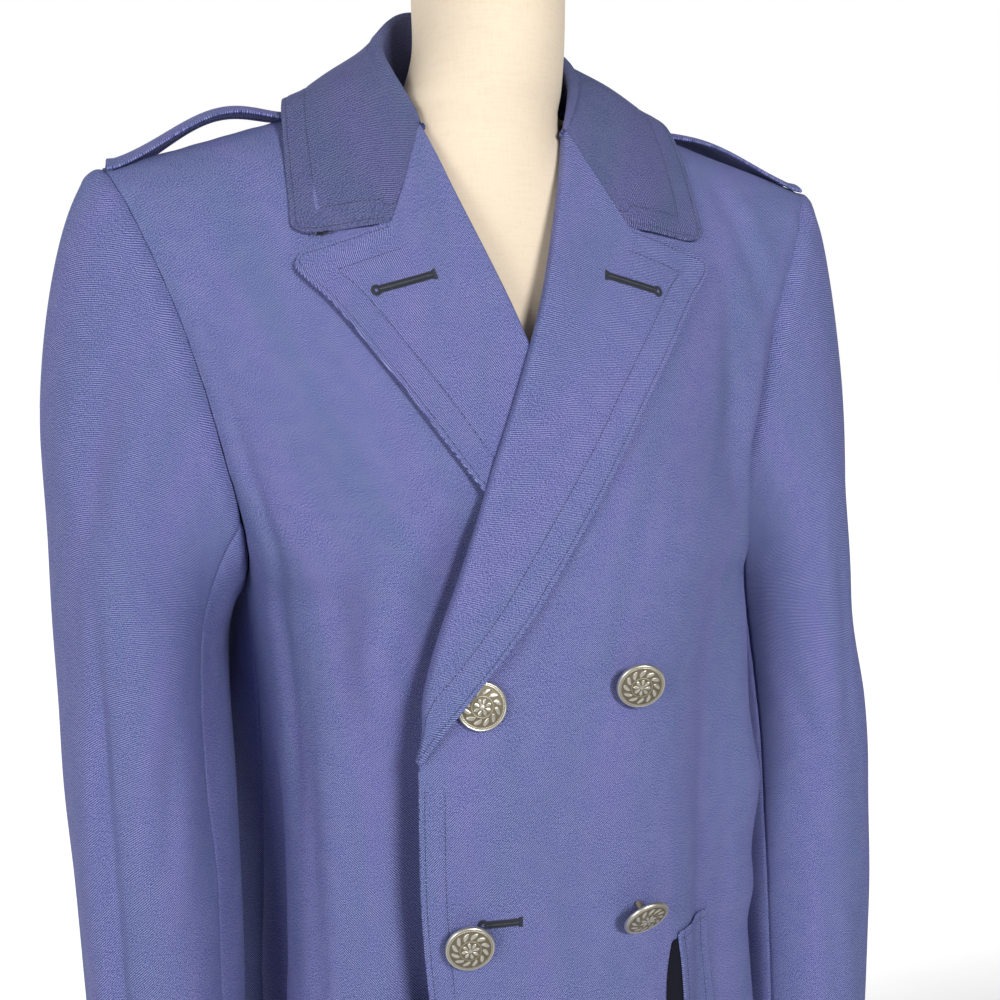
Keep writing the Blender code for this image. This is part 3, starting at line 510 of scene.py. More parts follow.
SECTIONS = [Section(*row) for row in (
    (0.380, 0.232, 0.186, 0.190),
    (0.600, 0.204, 0.172, 0.172),
    (0.800, 0.169, 0.160, 0.152),
    (0.950, 0.160, 0.154, 0.136),
    (1.090, 0.158, 0.153, 0.126),
    (1.185, 0.164, 0.146, 0.128),
)]
ARMHOLE = [Armhole(*row) for row in (
    (0.00, 0.1640, 0.0000, 0.0000),
    (0.05, 0.1650, 0.0300, 0.0340),
    (0.15, 0.1705, 0.0530, 0.0590),
    (0.31, 0.1810, 0.0610, 0.0700),
    (0.47, 0.1920, 0.0590, 0.0710),
    (0.60, 0.2020, 0.0550, 0.0670),
    (0.72, 0.2130, 0.0500, 0.0610),
    (0.82, 0.2230, 0.0440, 0.0530),
    (0.90, 0.2310, 0.0360, 0.0430),
    (0.96, 0.2380, 0.0245, 0.0290),
    (0.99, 0.2415, 0.0125, 0.0145),
    (1.00, 0.2430, 0.0000, 0.0000),
)]
LAPEL_EDGE = [Edge(*row) for row in (
    (0.00, -0.0798, 1.093),
    (0.08, -0.0705, 1.108),
    (0.17, -0.0500, 1.136),
    (0.25, -0.0310, 1.159),
    (0.38, 0.0000, 1.199),
    (0.55, 0.0420, 1.257),
    (0.72, 0.0790, 1.312),
    (0.88, 0.1150, 1.361),
    (0.96, 0.1345, 1.3815),
    (1.00, 0.1380, 1.391),
)]
ROLL_EDGE = [Edge(*row) for row in (
    (0.00, -0.0800, 1.092),
    (0.25, -0.0640, 1.165),
    (0.45, -0.0380, 1.240),
    (0.68, 0.0010, 1.333),
    (0.85, 0.0300, 1.412),
    (1.00, 0.0500, 1.474),
)]
COLLAR = [CollarRow(*row) for row in (
    (0.00, 0.0000, 0.0552, 1.5020, 0.0000, 0.0650, 1.571, 0.000, 0.098, 0.0050),
    (0.22, 0.0300, 0.0512, 1.5020, 0.0350, 0.0560, 1.569, 0.052, 0.092, 0.0050),
    (0.45, 0.0590, 0.0350, 1.5020, 0.0580, 0.0300, 1.549, 0.098, 0.062, 0.0085),
    (0.62, 0.0720, 0.0095, 1.5020, 0.0660, 0.0040, 1.534, 0.124, 0.014, 0.0115),
    (0.78, 0.0610, -0.0200, 1.4915, 0.0640, -0.0210, 1.514, 0.134, -0.026, 0.0090),
    (0.90, 0.0530, -0.0320, 1.4830, 0.0560, -0.0380, 1.496, 0.136, -0.052, 0.0045),
    (1.00, 0.0480, -0.0400, 1.4750, 0.0500, -0.0430, 1.474, 0.136, -0.068, 0.0030),
)]
SLEEVE = [Ring(*row) for row in (
    (1.200, 0.2310, 0.0160, 0.0560, 0.0860, 0.070),
    (1.130, 0.2310, 0.0020, 0.0555, 0.0830, 0.040),
    (1.050, 0.2290, -0.0180, 0.0535, 0.0780, 0.015),
    (0.960, 0.2265, -0.0330, 0.0510, 0.0730, 0.000),
    (0.880, 0.2250, -0.0430, 0.0490, 0.0690, -0.002),
    (0.815, 0.2240, -0.0490, 0.0480, 0.0670, -0.004),
)]

NOTCH = (0.078, 1.411)
NOTCH_SHARE = 3.0 / 7.0     # of a lapel's or collar's width, where the gorge seam ends
COLLAR_CORNER = (0.136, 1.403)

# wide troughs (out < 0) and flutes (out > 0) of the body: girth is 0 at the middle
# of the front, 1 at the side and 2 at the middle back, minus on the wearer's right
BODY_FOLDS = [Fold(*row) for row in (
    (0.50, 0.46, 1.20, 0.60, 0.060, -0.0078),
    (0.52, 0.66, 1.41, 1.25, 0.060, -0.0045),
    (-0.54, -0.50, 1.34, 0.84, 0.070, -0.0075),
    (0.70, 0.72, 1.27, 0.98, 0.130, 0.0200),
    (0.72, 0.73, 1.16, 0.76, 0.130, 0.0240),
    (0.71, 0.75, 0.96, 0.30, 0.130, 0.0220),
    (-0.76, -0.72, 0.88, 0.30, 0.110, 0.0120),
    (1.22, 1.26, 1.02, 0.30, 0.120, 0.0130),
    (-1.25, -1.22, 1.00, 0.30, 0.110, 0.0140),
    (1.13, 1.15, 1.215, 0.70, 0.100, 0.0200),
    (-1.13, -1.15, 1.215, 0.70, 0.100, 0.0200),
    (1.64, 1.60, 1.10, 0.30, 0.130, 0.0110),
    (-1.60, -1.66, 1.06, 0.30, 0.130, 0.0120),
    (1.46, 1.42, 0.95, 0.30, 0.090, -0.0090),
    (-1.44, -1.47, 0.98, 0.30, 0.090, -0.0080),
    (0.62, 0.56, 1.13, 0.86, 0.030, -0.0016),
    (0.40, 0.37, 1.02, 0.70, 0.035, -0.0014),
    (-0.70, -0.64, 1.22, 0.93, 0.032, -0.0016),
    (-0.40, -0.42, 1.16, 0.88, 0.040, 0.0012),
    (1.36, 1.30, 1.36, 1.05, 0.045, -0.0030),
    (-1.38, -1.31, 1.38, 1.07, 0.045, -0.0026),
    (-1.24, -1.26, 1.32, 0.80, 0.140, 0.0330),
    (-0.94, -0.88, 1.24, 0.55, 0.080, -0.0200),
    (-0.80, -0.72, 1.40, 1.00, 0.040, -0.0030),
    (0.71, 0.72, 1.075, 0.93, 0.130, 0.0070),
    (0.72, 0.75, 0.86, 0.60, 0.130, 0.0100),
    (0.78, 0.78, 1.42, 1.08, 0.090, 0.0080),
    (1.52, 1.50, 1.30, 1.12, 0.040, -0.0018),
    (-1.55, -1.50, 1.27, 1.08, 0.040, -0.0020),
)]

# short drag lines on the fronts, from their upper end to their lower one
FRONT_LINES = [Line(*row) for row in (
    (0.158, 1.452, 0.197, 1.345, 0.0085, -0.0022),
    (0.176, 1.448, 0.207, 1.372, 0.0070, 0.0012),
    (0.150, 1.385, 0.180, 1.318, 0.0070, -0.0014),
    (0.140, 1.270, 0.172, 1.190, 0.0100, -0.0014),
    (0.060, 1.122, 0.150, 1.085, 0.0080, -0.0008),
    (0.052, 0.975, 0.120, 0.940, 0.0080, -0.0010),
    (-0.160, 1.450, -0.195, 1.350, 0.0100, -0.0010),
    (-0.120, 1.300, -0.160, 1.180, 0.0120, -0.0010),
    (-0.132, 0.965, -0.136, 0.925, 0.0030, -0.0012),
    (-0.140, 0.968, -0.145, 0.925, 0.0030, 0.0010),
    (-0.149, 0.965, -0.153, 0.928, 0.0028, -0.0012),
)]

# waves of slack cloth: turns across and up in radians a metre, and height
SLACK_WAVES = (
    (11.0, 38.0, 0.00042), (52.0, 9.0, 0.00034), (-33.0, 27.0, 0.00032),
    (71.0, -20.0, 0.00020), (24.0, 74.0, 0.00016), (-96.0, 35.0, 0.00012),
)


@dataclass(frozen=True)
class CoatShape:
    """The coat's plain surface and how its cloth stands off it."""

    wall: float = 0.002
    seam_gap: float = 0.0003
    lay_gap: float = 0.0009
    hem_z: float = 0.380
    armpit_z: float = 1.185
    neck_x: float = 0.075
    neck_z: float = 1.501
    tip_x: float = 0.243
    tip_z: float = 1.448
    ridge_depth: float = 0.010
    neck_scoop: float = 0.048
    plan_power: float = 2.4
    front_dome: float = 1.15
    back_dome: float = 3.2
    back_root: float = 2.6
    edge_x: float = 0.080
    edge_drift: float = 0.0095
    break_z: float = 1.092
    gorge_x: float = 0.050
    gorge_z: float = 1.474
    v_z: float = 1.333
    overlap_lift: float = 0.0066
    edge_stand_off: float = 0.0060

    def ridge_z(self, x: Array) -> Array:
        """Height of the shoulder seam at x."""
        share = (np.maximum(np.abs(x), self.neck_x) - self.neck_x) / (self.tip_x - self.neck_x)
        return blend(self.neck_z, self.tip_z, share)

    def ridge_y(self, face: Face, x: Array) -> Array:
        """Depth of the shoulder seam at x, and of the back neckline between the neck points.

        Args:
            face: Front or back.
            x: Places across.

        Returns:
            The y of each place.
        """
        share = (np.abs(x) - self.neck_x) / (self.tip_x - self.neck_x)
        seam = self.ridge_depth * (1.0 - share)
        inner = np.full_like(seam, self.ridge_depth)
        if face is Face.BACK:
            round_neck = np.maximum(0.0, 1.0 - (x / self.neck_x) ** 2)
            inner = self.ridge_depth + self.neck_scoop * np.sqrt(round_neck)
        return np.where(np.abs(x) >= self.neck_x, seam, inner)

    def side_x(self, z: Array, t: Array) -> Array:
        """Half width of the body at z, or of the armhole above the armpit.

        Args:
            z: Heights.
            t: How far each z has gone from the armpit to the shoulder seam.

        Returns:
            The x of the side at each height.
        """
        low = between_rows(SECTIONS, "z", z, "half_width")
        high = between_rows(ARMHOLE, "t", t, "x")
        return np.where(t <= 0.0, low, high)

    def surface_y(self, face: Face, x: Array, z: Array, t: Array) -> Array:
        """Give the depth of the plain surface.

        Args:
            face: Front or back.
            x: Place across.
            z: Height.
            t: How far z has gone from the armpit to the shoulder seam.

        Returns:
            The y of each point.
        """
        s = np.minimum(1.0, np.abs(x) / self.side_x(z, t))
        column = face.name.lower()
        depth = between_rows(SECTIONS, "z", z, column)
        power = blend(self.plan_power, 1.0, smooth(t / 0.30))
        fullness = np.maximum(0.0, 1.0 - s ** self.plan_power) ** (1.0 / power)
        if face is Face.FRONT:
            dome = np.maximum(0.0, 1.0 - t ** self.front_dome) ** 0.5
        else:
            dome = np.maximum(0.0, 1.0 - t ** self.back_dome) ** (1.0 / self.back_root)
        top = self.ridge_y(face, x)
        middle = top + (face.value * depth - top) * dome
        side = face.value * between_rows(ARMHOLE, "t", t, column)
        return np.where(t <= 0.0, face.value * depth * fullness, side + (middle - side) * fullness)

    def rise(self, x: Array, z: Array) -> Array:
        """How far z is from the armpit to the shoulder seam, 0 at or below the armpit."""
        return np.clip((z - self.armpit_z) / (self.ridge_z(x) - self.armpit_z), 0.0, 1.0)

    def normal(self, face: Face, x: Array, z: Array) -> Array:
        """Outward direction of the plain surface away from its side edge.

        Args:
            face: Front or back.
            x: Places across.
            z: Heights.

        Returns:
            A unit vector for each place.
        """
        step = 0.002
        half = self.side_x(z, self.rise(x, z))
        x = np.clip(x / half, -0.98, 0.98) * half
        z = np.minimum(z, self.ridge_z(x) - 0.004 - step)

        def depth(px: Array, pz: Array) -> Array:
            """Depth at a neighbouring place."""
            return self.surface_y(face, px, pz, self.rise(px, pz))

        by_x = depth(x + step, z) - depth(x - step, z)
        by_z = depth(x, z + step) - depth(x, z - step)
        out = np.stack([-by_x, np.full_like(by_x, 2 * step), -by_z], axis=-1)
        return unit(out) * face.value

    def girth(self, face: Face, x: Array, z: Array) -> Array:
        """Place round the body: 0 middle front, 1 side, 2 middle back, minus on the right.

        Args:
            face: Front or back.
            x: Places across.
            z: Heights.

        Returns:
            The place round of each point.
        """
        s = np.minimum(1.0, np.abs(x) / self.side_x(z, self.rise(x, z)))
        quarter = np.arcsin(s) / (math.pi / 2)
        place = quarter if face is Face.FRONT else 2.0 - quarter
        return np.where(x < 0.0, -place, place)

    def fold_out(self, face: Face, x: Array, z: Array) -> Array:
        """How far folds, drag lines and slack move the cloth out at a place.

        Args:
            face: Front or back.
            x: Places across.
            z: Heights.

        Returns:
            The distance out, minus where the cloth sinks.
        """
        here = self.girth(face, x, z)
        total = np.zeros_like(here)
        for fold in BODY_FOLDS:
            down = (fold.z_top - z) / (fold.z_top - fold.z_low)
            middle = blend(fold.girth_top, fold.girth_low, np.clip(down, 0.0, 1.0))
            apart = np.abs((here - middle + 2.0) % 4.0 - 2.0)
            swell = smooth(down * 1.6)
            if fold.z_low >= self.hem_z:
                swell = swell * smooth((1.0 - down) * 4.0)
            total = total + fold.out * swell * bump(apart, fold.width)
        if face is Face.FRONT:
            total = total + self.drag_lines(x, z)
        return total + self.slack(face, x, z)

    def drag_lines(self, x: Array, z: Array) -> Array:
        """Short creases of the fronts, fading at both ends.

        Args:
            x: Places across.
            z: Heights.

        Returns:
            The distance out.
        """
        total = np.zeros_like(x)
        for line in FRONT_LINES:
            run = np.array([line.x_low - line.x_top, line.z_low - line.z_top])
            length = float(np.hypot(*run))
            run = run / length
            along = ((x - line.x_top) * run[0] + (z - line.z_top) * run[1]) / length
            apart = (x - line.x_top) * run[1] - (z - line.z_top) * run[0]
            swell = smooth(along * 3.0 + 0.3) * smooth((1.0 - along) * 3.0 + 0.3)
            total = total + line.out * swell * bump(apart, line.width)
        return total

    def slack(self, face: Face, x: Array, z: Array) -> Array:
        """Faint uneven waves of cloth that hangs free.

        Args:
            face: Front or back.
            x: Places across.
            z: Heights.

        Returns:
            The distance out.
        """
        shift = 0.7 if face is Face.BACK else 0.0
        return sum(
            height * np.sin(by_x * x + by_z * z + 1.7 * k + shift)
            for k, (by_x, by_z, height) in enumerate(SLACK_WAVES)
        )

    def over_lift(self, side: Side, x: Array, z: Array) -> Array:
        """How far the over front stands off, nothing on the under front.

        Args:
            side: The wearer's left or right.
            x: Places across.
            z: Heights.

        Returns:
            The distance out.
        """
        if side is Side.RIGHT:
            return np.zeros_like(x)
        near = 1.0 - smooth((x - 0.075) / 0.075)
        low = 1.0 - smooth((z - 1.350) / 0.080)
        edge = smooth((-0.045 - x) / 0.040) * (1.0 - smooth(np.abs(z - 1.000) / 0.220))
        return self.overlap_lift * near * low + self.edge_stand_off * edge * low

    def front_point(self, side: Side, x: Array, z: Array, out: Array) -> Array:
        """Give points on a front, moved out from it.

        Args:
            side: Which front; the left one laps over the right.
            x: Place from the middle, minus past it.
            z: Height.
            out: Distance out from the front's face.

        Returns:
            Points, with x, y and z in the last axis.
        """
        x = np.asarray(x, dtype=float) * side.value
        z = np.asarray(z, dtype=float)
        x, z = np.broadcast_arrays(x, z)
        base = np.stack([x, self.surface_y(Face.FRONT, x, z, self.rise(x, z)), z], axis=-1)
        move = out + self.over_lift(side, x, z) + self.fold_out(Face.FRONT, x, z)
        return base + self.normal(Face.FRONT, x, z) * np.asarray(move)[..., None]

    def shoulder_z(self, x: Array, y: Array) -> Array:
        """Height of the coat's top at a place seen from above.

        Args:
            x: Places across.
            y: Depths.

        Returns:
            The z of each place.
        """
        x, y = np.broadcast_arrays(np.asarray(x, dtype=float), np.asarray(y, dtype=float))
        low = np.zeros_like(x)
        high = np.ones_like(x)
        ahead = y < self.ridge_y(Face.FRONT, x)
        for _ in range(30):
            t = (low + high) / 2
            z = blend(self.armpit_z, self.ridge_z(x), t)
            front = y - self.surface_y(Face.FRONT, x, z, t)
            back = self.surface_y(Face.BACK, x, z, t) - y
            outside = np.where(ahead, front, back) > 0.0
            low = np.where(outside, t, low)
            high = np.where(outside, high, t)
        return blend(self.armpit_z, self.ridge_z(x), high)

    def roll_x(self, z: Array) -> Array:
        """Where the front's free edge is at z: straight front edge, then the roll line.

        Args:
            z: Heights.

        Returns:
            The x of the edge at each height.
        """
        rolled = between_rows(ROLL_EDGE, "z", z, "x")
        neck = blend(self.gorge_x, self.neck_x, (z - self.gorge_z) / (self.neck_z - self.gorge_z))
        drift = self.edge_drift * smooth((self.break_z - 0.06 - z) / 0.20)
        return np.where(z <= self.break_z, drift - self.edge_x, np.where(z >= self.gorge_z, neck, rolled))


COAT = CoatShape()


# ---- walls of cloth


def steps(count: int) -> Array:
    """Even shares from 0 to 1."""
    return np.linspace(0.0, 1.0, count + 1)


def spread(*runs: tuple[float, float, int]) -> Array:
    """Join runs of even steps, each given by its first value, its last value and its count."""
    return np.concatenate([np.linspace(*run)[:-1] for run in runs] + [[runs[-1][1]]])


def grid_normals(grid: Array, flip: int) -> Array:
    """Normals of a grid of points, outward where flip says so.

    Args:
        grid: Points in rows and columns.
        flip: 1 or -1, which turns them outward.

    Returns:
        A unit vector for each point.
    """
    along = np.gradient(grid, axis=1)
    up = np.gradient(grid, axis=0)
    return unit(np.cross(along, up)) * flip


def outward(side: Side, face: Face) -> int:
    """Sign that turns the normals of a front's or back's grid outward."""
    return -side.value * face.value


def row_runs(grid: Array) -> Array:
    """Distance along each row from its first point."""
    hops = np.linalg.norm(np.diff(grid, axis=1), axis=-1)
    return np.concatenate([np.zeros((len(grid), 1)), np.cumsum(hops, axis=1)], axis=1)


def column_runs(grid: Array) -> Array:
    """Distance up each column from its first point."""
    return row_runs(grid.transpose(1, 0, 2)).T


def edge_distance(grid: Array, edge: str) -> Array:
    """Distance over the cloth to one edge: first, last, low or top.

    Args:
        grid: Points in rows and columns.
        edge: first, last, low or top.

    Returns:
        The distance of each point, in metres.
    """
    runs = row_runs(grid) if edge in ("first", "last") else column_runs(grid)
    if edge in ("first", "low"):
        return runs
    total = runs[:, -1:] if edge == "last" else runs[-1:, :]
    return total - runs


def read_lines(lines: Array, places: Array) -> Array:
    """Read each line of numbers at its own fractional place."""
    return np.array([np.interp(place, np.arange(len(line)), line) for line, place in zip(lines, places)])


def reach_in_lines(lines: Array, values: Array | float) -> Array:
    """Fractional place where each growing line of numbers reaches its value."""
    values = np.broadcast_to(values, len(lines))
    return np.array([np.interp(value, line, np.arange(len(line))) for line, value in zip(lines, values)])


def round_corner(grid: Array, row: int, column: int, radius: float) -> Array:
    """Bend a grid's corner on to a quarter circle.

    Args:
        grid: Points of a piece.
        row: 0 or -1, the corner's row.
        column: 0 or -1, the corner's column.
        radius: Of the rounded corner.

    Returns:
        The moved points.
    """
    rows, columns = grid.shape[:2]
    corner = grid[row, column]
    by_row = np.linalg.norm(grid[:, column] - corner, axis=-1)
    by_column = np.linalg.norm(grid[row] - corner, axis=-1)
    far_row = int(np.argmin(np.abs(by_row - radius)))
    far_column = int(np.argmin(np.abs(by_column - radius)))
    first = unit(grid[far_row, column] - corner)
    second = unit(grid[row, far_column] - corner)
    both = np.stack([first, second], axis=1)
    apart = (grid - corner).reshape(-1, 3)
    places = apart @ np.linalg.pinv(both).T
    u = 1.0 - places[:, 0] / radius
    v = 1.0 - places[:, 1] / radius
    inside = (u > 0.0) & (v > 0.0) & (np.linalg.norm(apart, axis=-1) < 1.6 * radius)
    u = np.where(inside, np.minimum(u, 1.0), 0.0)
    v = np.where(inside, np.minimum(v, 1.0), 0.0)
    new_u = u * np.sqrt(1.0 - v * v / 2.0)
    new_v = v * np.sqrt(1.0 - u * u / 2.0)
    shift = np.stack([(u - new_u) * radius, (v - new_v) * radius], axis=1) @ both.T
    return grid + shift.reshape(rows, columns, 3)


def rim_points(edge: Array, other: Array, inward: Array) -> Array:
    """Middle of a rounded rim between the two faces of a wall.

    Args:
        edge: Points of one face's edge.
        other: The same of the other face.
        inward: Their neighbours inside the first face.

    Returns:
        One point for each of the edge's.
    """
    away = unit(edge - inward)
    thickness = np.linalg.norm(edge - other, axis=-1, keepdims=True)
    return (edge + other) / 2 + away * thickness * 0.38


@dataclass
class ClothPiece:
    """A thin wall of cloth over a grid of points, with its grain and its cut."""

    node: str
    outer: Array
    flip: int
    wall: float = COAT.wall
    normals: Array | None = None
    inner: Array | None = None
    grain_turn: float = 0.0
    grain_start: float = 0.0

    def __post_init__(self) -> None:
        """Work out the normals and the inner face where they are not given."""
        if self.normals is None:
            self.normals = grid_normals(self.outer, self.flip)
        if self.inner is None:
            self.inner = self.outer - self.normals * self.wall

    def dip(self, edge: str, depth: float, reach: float, pucker: float = 0.0) -> None:
        """Sink the cloth towards a seam, with small puckers along it.

        Args:
            edge: first, last, low or top.
            depth: At the seam.
            reach: How far it fades.
            pucker: Height of the puckers.
        """
        away = self.away(edge)
        runs = column_runs(self.outer) if edge in ("first", "last") else row_runs(self.outer)
        waver = np.sin(runs * 330.0) + 0.6 * np.sin(runs * 211.0 + 2.0)
        self.move_out(-depth * bump(away, reach) + pucker * waver * bump(away, reach * 3.0))

    def away(self, edge: str) -> Array:
        """Distance over the outer face to one edge: first, last, low or top."""
        return edge_distance(self.outer, edge)

    def raise_face(self, height: Array) -> None:
        """Move the outer face out by a height at each point."""
        self.outer = self.outer + self.normals * height[..., None]

    def move_out(self, height: Array) -> None:
        """Move both faces out by a height at each point."""
        self.raise_face(height)
        self.inner = self.inner + self.normals * height[..., None]

    def groove(self, away: Array, place: float, depth: float, reach: float) -> None:
        """Press a stitched line into the outer face at a distance from an edge."""
        self.raise_face(-depth * bump(away - place, reach))

    def cut_size(self) -> tuple[float, float, float]:
        """Width, length and area of the cloth that the piece is cut from.

        Returns:
            Width and length in metres and area in square metres.
        """
        width = float(row_runs(self.outer)[:, -1].max())
        length = float(column_runs(self.outer)[-1, :].max())
        low, high = self.outer[1:, :-1], self.outer[:-1, 1:]
        area = 0.0
        for corner in (self.outer[:-1, :-1], self.outer[1:, 1:]):
            area += np.linalg.norm(np.cross(low - corner, high - corner), axis=-1).sum()
        return width, length, float(area) / 2

    def grain(self) -> Array:
        """Place of each point on the cloth, in metres, turned to the piece's grain.

        Returns:
            Across and along, for each point.
        """
        across = row_runs(self.outer) + self.grain_start
        along = column_runs(self.outer)
        along = np.broadcast_to(along.mean(axis=1, keepdims=True), across.shape)
        c, s = math.cos(self.grain_turn), math.sin(self.grain_turn)
        return np.stack([across * c - along * s, across * s + along * c], axis=-1)

    def point(self, i: Array, j: Array, lift: float) -> tuple[Array, Array]:
        """Give places on the outer face.

        Args:
            i: Row numbers, whole or not.
            j: Column numbers, whole or not.
            lift: Distance above the face.

        Returns:
            Points and their normals.
        """
        rows, columns = self.outer.shape[:2]
        i = np.clip(i, 0.0, rows - 1.001)
        j = np.clip(j, 0.0, columns - 1.001)
        low, left = np.floor(i).astype(int), np.floor(j).astype(int)
        a, b = (i - low)[:, None], (j - left)[:, None]

        def read(values: Array) -> Array:
            """Bilinear reading of a grid."""
            near = values[low, left] * (1 - b) + values[low, left + 1] * b
            far = values[low + 1, left] * (1 - b) + values[low + 1, left + 1] * b
            return near * (1 - a) + far * a

        normal = unit(read(self.normals))
        return read(self.outer) + normal * lift, normal

    def locate(self, x: Array, z: Array, first: int = 0) -> tuple[Array, Array]:
        """Find places of the outer face by x and z.

        Args:
            x: Places across.
            z: Heights.
            first: First column that may be found.

        Returns:
            Fractional rows and columns.
        """
        flat = self.outer[:, first:, ::2]
        along = np.gradient(flat, axis=0)
        across = np.gradient(flat, axis=1)
        found = []
        for target in np.stack(np.broadcast_arrays(x, z), axis=-1):
            apart = ((flat - target) ** 2).sum(-1)
            i, j = np.unravel_index(int(apart.argmin()), apart.shape)
            both = np.stack([along[i, j], across[i, j]], axis=1)
            shift = np.linalg.lstsq(both, target - flat[i, j], rcond=None)[0]
            found.append(np.array([i, j + first]) + shift)
        return np.array(found).T

    def build(self, material: Material, name: str = "") -> Object:
        """Make the mesh, with a rounded rim and its grain as a UV map.

        Args:
            material: Its finish.
            name: Of the piece, where it isn't cloth_ and the node's name.

        Returns:
            The new object.
        """
        rows, columns = self.outer.shape[:2]
        count = rows * columns
        numbers = np.arange(count).reshape(rows, columns)
        loop = np.concatenate([
            numbers[0, :-1], numbers[:-1, -1], numbers[-1, :0:-1], numbers[:0:-1, 0],
        ])
        inward = np.concatenate([
            numbers[1, :-1], numbers[:-1, -2], numbers[-2, :0:-1], numbers[:0:-1, 1],
        ])
        outer = self.outer.reshape(-1, 3)
        inner = self.inner.reshape(-1, 3)
        rim = rim_points(outer[loop], inner[loop], outer[inward])
        points = np.concatenate([outer, inner, rim])
        a, b = numbers[:-1, :-1].ravel(), numbers[:-1, 1:].ravel()
        c, d = numbers[1:, 1:].ravel(), numbers[1:, :-1].ravel()
        faces = [np.stack([a, b, c, d], axis=1), np.stack([a, d, c, b], axis=1) + count]
        ahead = np.roll(loop, -1)
        here = 2 * count + np.arange(len(loop))
        there = 2 * count + np.roll(np.arange(len(loop)), -1)
        faces.append(np.stack([loop, here, there, ahead], axis=1))
        faces.append(np.stack([here, loop + count, ahead + count, there], axis=1))
        quads = np.concatenate(faces)
        if self.flip < 0:
            quads = quads[:, ::-1]
        grain = self.grain().reshape(-1, 2)
        places = np.concatenate([grain, grain, grain[loop]])
        return mesh_object(name or "cloth_" + self.node, points, quads, material, places)

    def dress(self, material: Material, rests_on: list[str], slot: str) -> None:
        """Make the mesh in its node's place, hide the node's plain part, and log the size of cloth it was
        cut from.

        Args:
            material: Its finish.
            rests_on: Not used.
            slot: Not used.
        """
        item = self.build(material)
        width, length, area = self.cut_size()
        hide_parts(self.node)
        log.info("%s: cut %.0f x %.0f mm, %.3f m2", item.name, width * 1000, length * 1000, area)


def add_object(name: str, data: bpy.types.ID) -> Object:
    """Put a new object of a mesh, lamp or camera into the scene."""
    item = bpy.data.objects.new(name, data)
    bpy.context.scene.collection.objects.link(item)
    return item


def mesh_object(
    name: str, points: Array, faces: Array | list, material: Material,
    places: Array | None = None, sharp: float = 60.0,
) -> Object:
    """Make a smooth shaded mesh object that rides on the part.

    Args:
        name: Of the piece.
        points: Vertices.
        faces: Vertex numbers, one row for each face.
        material: Its finish.
        places: UV place of each vertex, in metres.
        sharp: Edges bent by more than this many degrees stay sharp.

    Returns:
        The new object.
    """
    mesh = bpy.data.meshes.new(name)
    mesh.from_pydata(points.tolist(), [], faces if isinstance(faces, list) else faces.tolist())
    if places is not None:
        layer = mesh.uv_layers.new(name="cloth")
        corners = np.empty(len(mesh.loops), dtype=np.int32)
        mesh.loops.foreach_get("vertex_index", corners)
        layer.data.foreach_set("uv", places[corners].astype(np.float32).ravel())
    mesh.materials.append(material)
    mesh.shade_smooth()
    mesh.set_sharp_from_angle(angle=math.radians(sharp))
    item = add_object(name, mesh)
    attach(item, "root")
    return item


# ---- stitches


@dataclass
class Stitching:
    """Lockstitches of one sub-assembly, as short lengths of thread that lie in the cloth."""

    name: str
    pitch: float = 0.0027
    length: float = 0.0021
    radius: float = 0.00030
    sides: int = 5
    sink: float = 0.00010
    points: list = field(default_factory=list)
    faces: list = field(default_factory=list)
    count: int = 0

    def thread(self, start: Array, end: Array, up: Array, radius: float) -> None:
        """Add threads from start points to end points, rounded at both ends.

        Args:
            start: One end of each.
            end: Its other end.
            up: Away from the cloth.
            radius: Of the thread.
        """
        along = unit(end - start)
        side = unit(np.cross(along, up))
        over = np.cross(side, along)
        middle = (start + end) / 2
        half = np.linalg.norm(end - start, axis=-1, keepdims=True) / 2
        turns = math.tau * np.arange(self.sides) / self.sides
        profile = ((-1.0, 0.30), (-0.72, 1.0), (0.72, 1.0), (1.0, 0.30))
        rings = []
        for place, swell in profile:
            for turn in turns:
                spoke = side * math.cos(turn) + over * math.sin(turn)
                rings.append(middle + along * half * place + spoke * radius * swell)
        block = np.stack(rings, axis=1)
        number = len(block)
        size = len(profile) * self.sides
        base = self.count + size * np.arange(number)[:, None]
        for ring in range(len(profile) - 1):
            for k in range(self.sides):
                n = (k + 1) % self.sides
                quad = np.array([
                    ring * self.sides + k, ring * self.sides + n,
                    (ring + 1) * self.sides + n, (ring + 1) * self.sides + k,
                ])
                self.faces.append(base + quad)
        self.points.append(block.reshape(-1, 3))
        self.count += number * size

    def sew(self, piece: ClothPiece, rows: Array, columns: Array) -> None:
        """Sew along a path of fractional rows and columns, sunk a little into the cloth."""
        self.run(*piece.point(rows, columns, -self.sink))

    def run(self, points: Array, normals: Array) -> None:
        """Sew along a path on the cloth.

        Args:
            points: The path, in order.
            normals: Of the cloth along it.
        """
        hops = np.linalg.norm(np.diff(points, axis=0), axis=-1)
        keep = np.concatenate([[True], hops > 1e-7])
        points, normals = points[keep], normals[keep]
        runs = np.concatenate([[0.0], np.cumsum(np.linalg.norm(np.diff(points, axis=0), axis=-1))])
        starts = np.arange(self.pitch / 2, runs[-1] - self.length, self.pitch)
        if not len(starts):
            return

        def at(place: Array, values: Array) -> Array:
            """Read the path at distances along it."""
            return np.stack([np.interp(place, runs, values[:, k]) for k in range(3)], axis=1)

        up = unit(at(starts + self.length / 2, normals))
        self.thread(at(starts, points), at(starts + self.length, points), up, self.radius)

    def build(self, material: Material, slot: str) -> Object:
        """Make one object of all its threads.

        Args:
            material: Finish of the mesh.
            slot: Not used.

        Returns:
            The new object.
        """
        item = mesh_object(self.name, np.concatenate(self.points), np.concatenate(self.faces), material)
        log.info("%s: %d points", self.name, self.count)
        return item


# ---- body of the coat


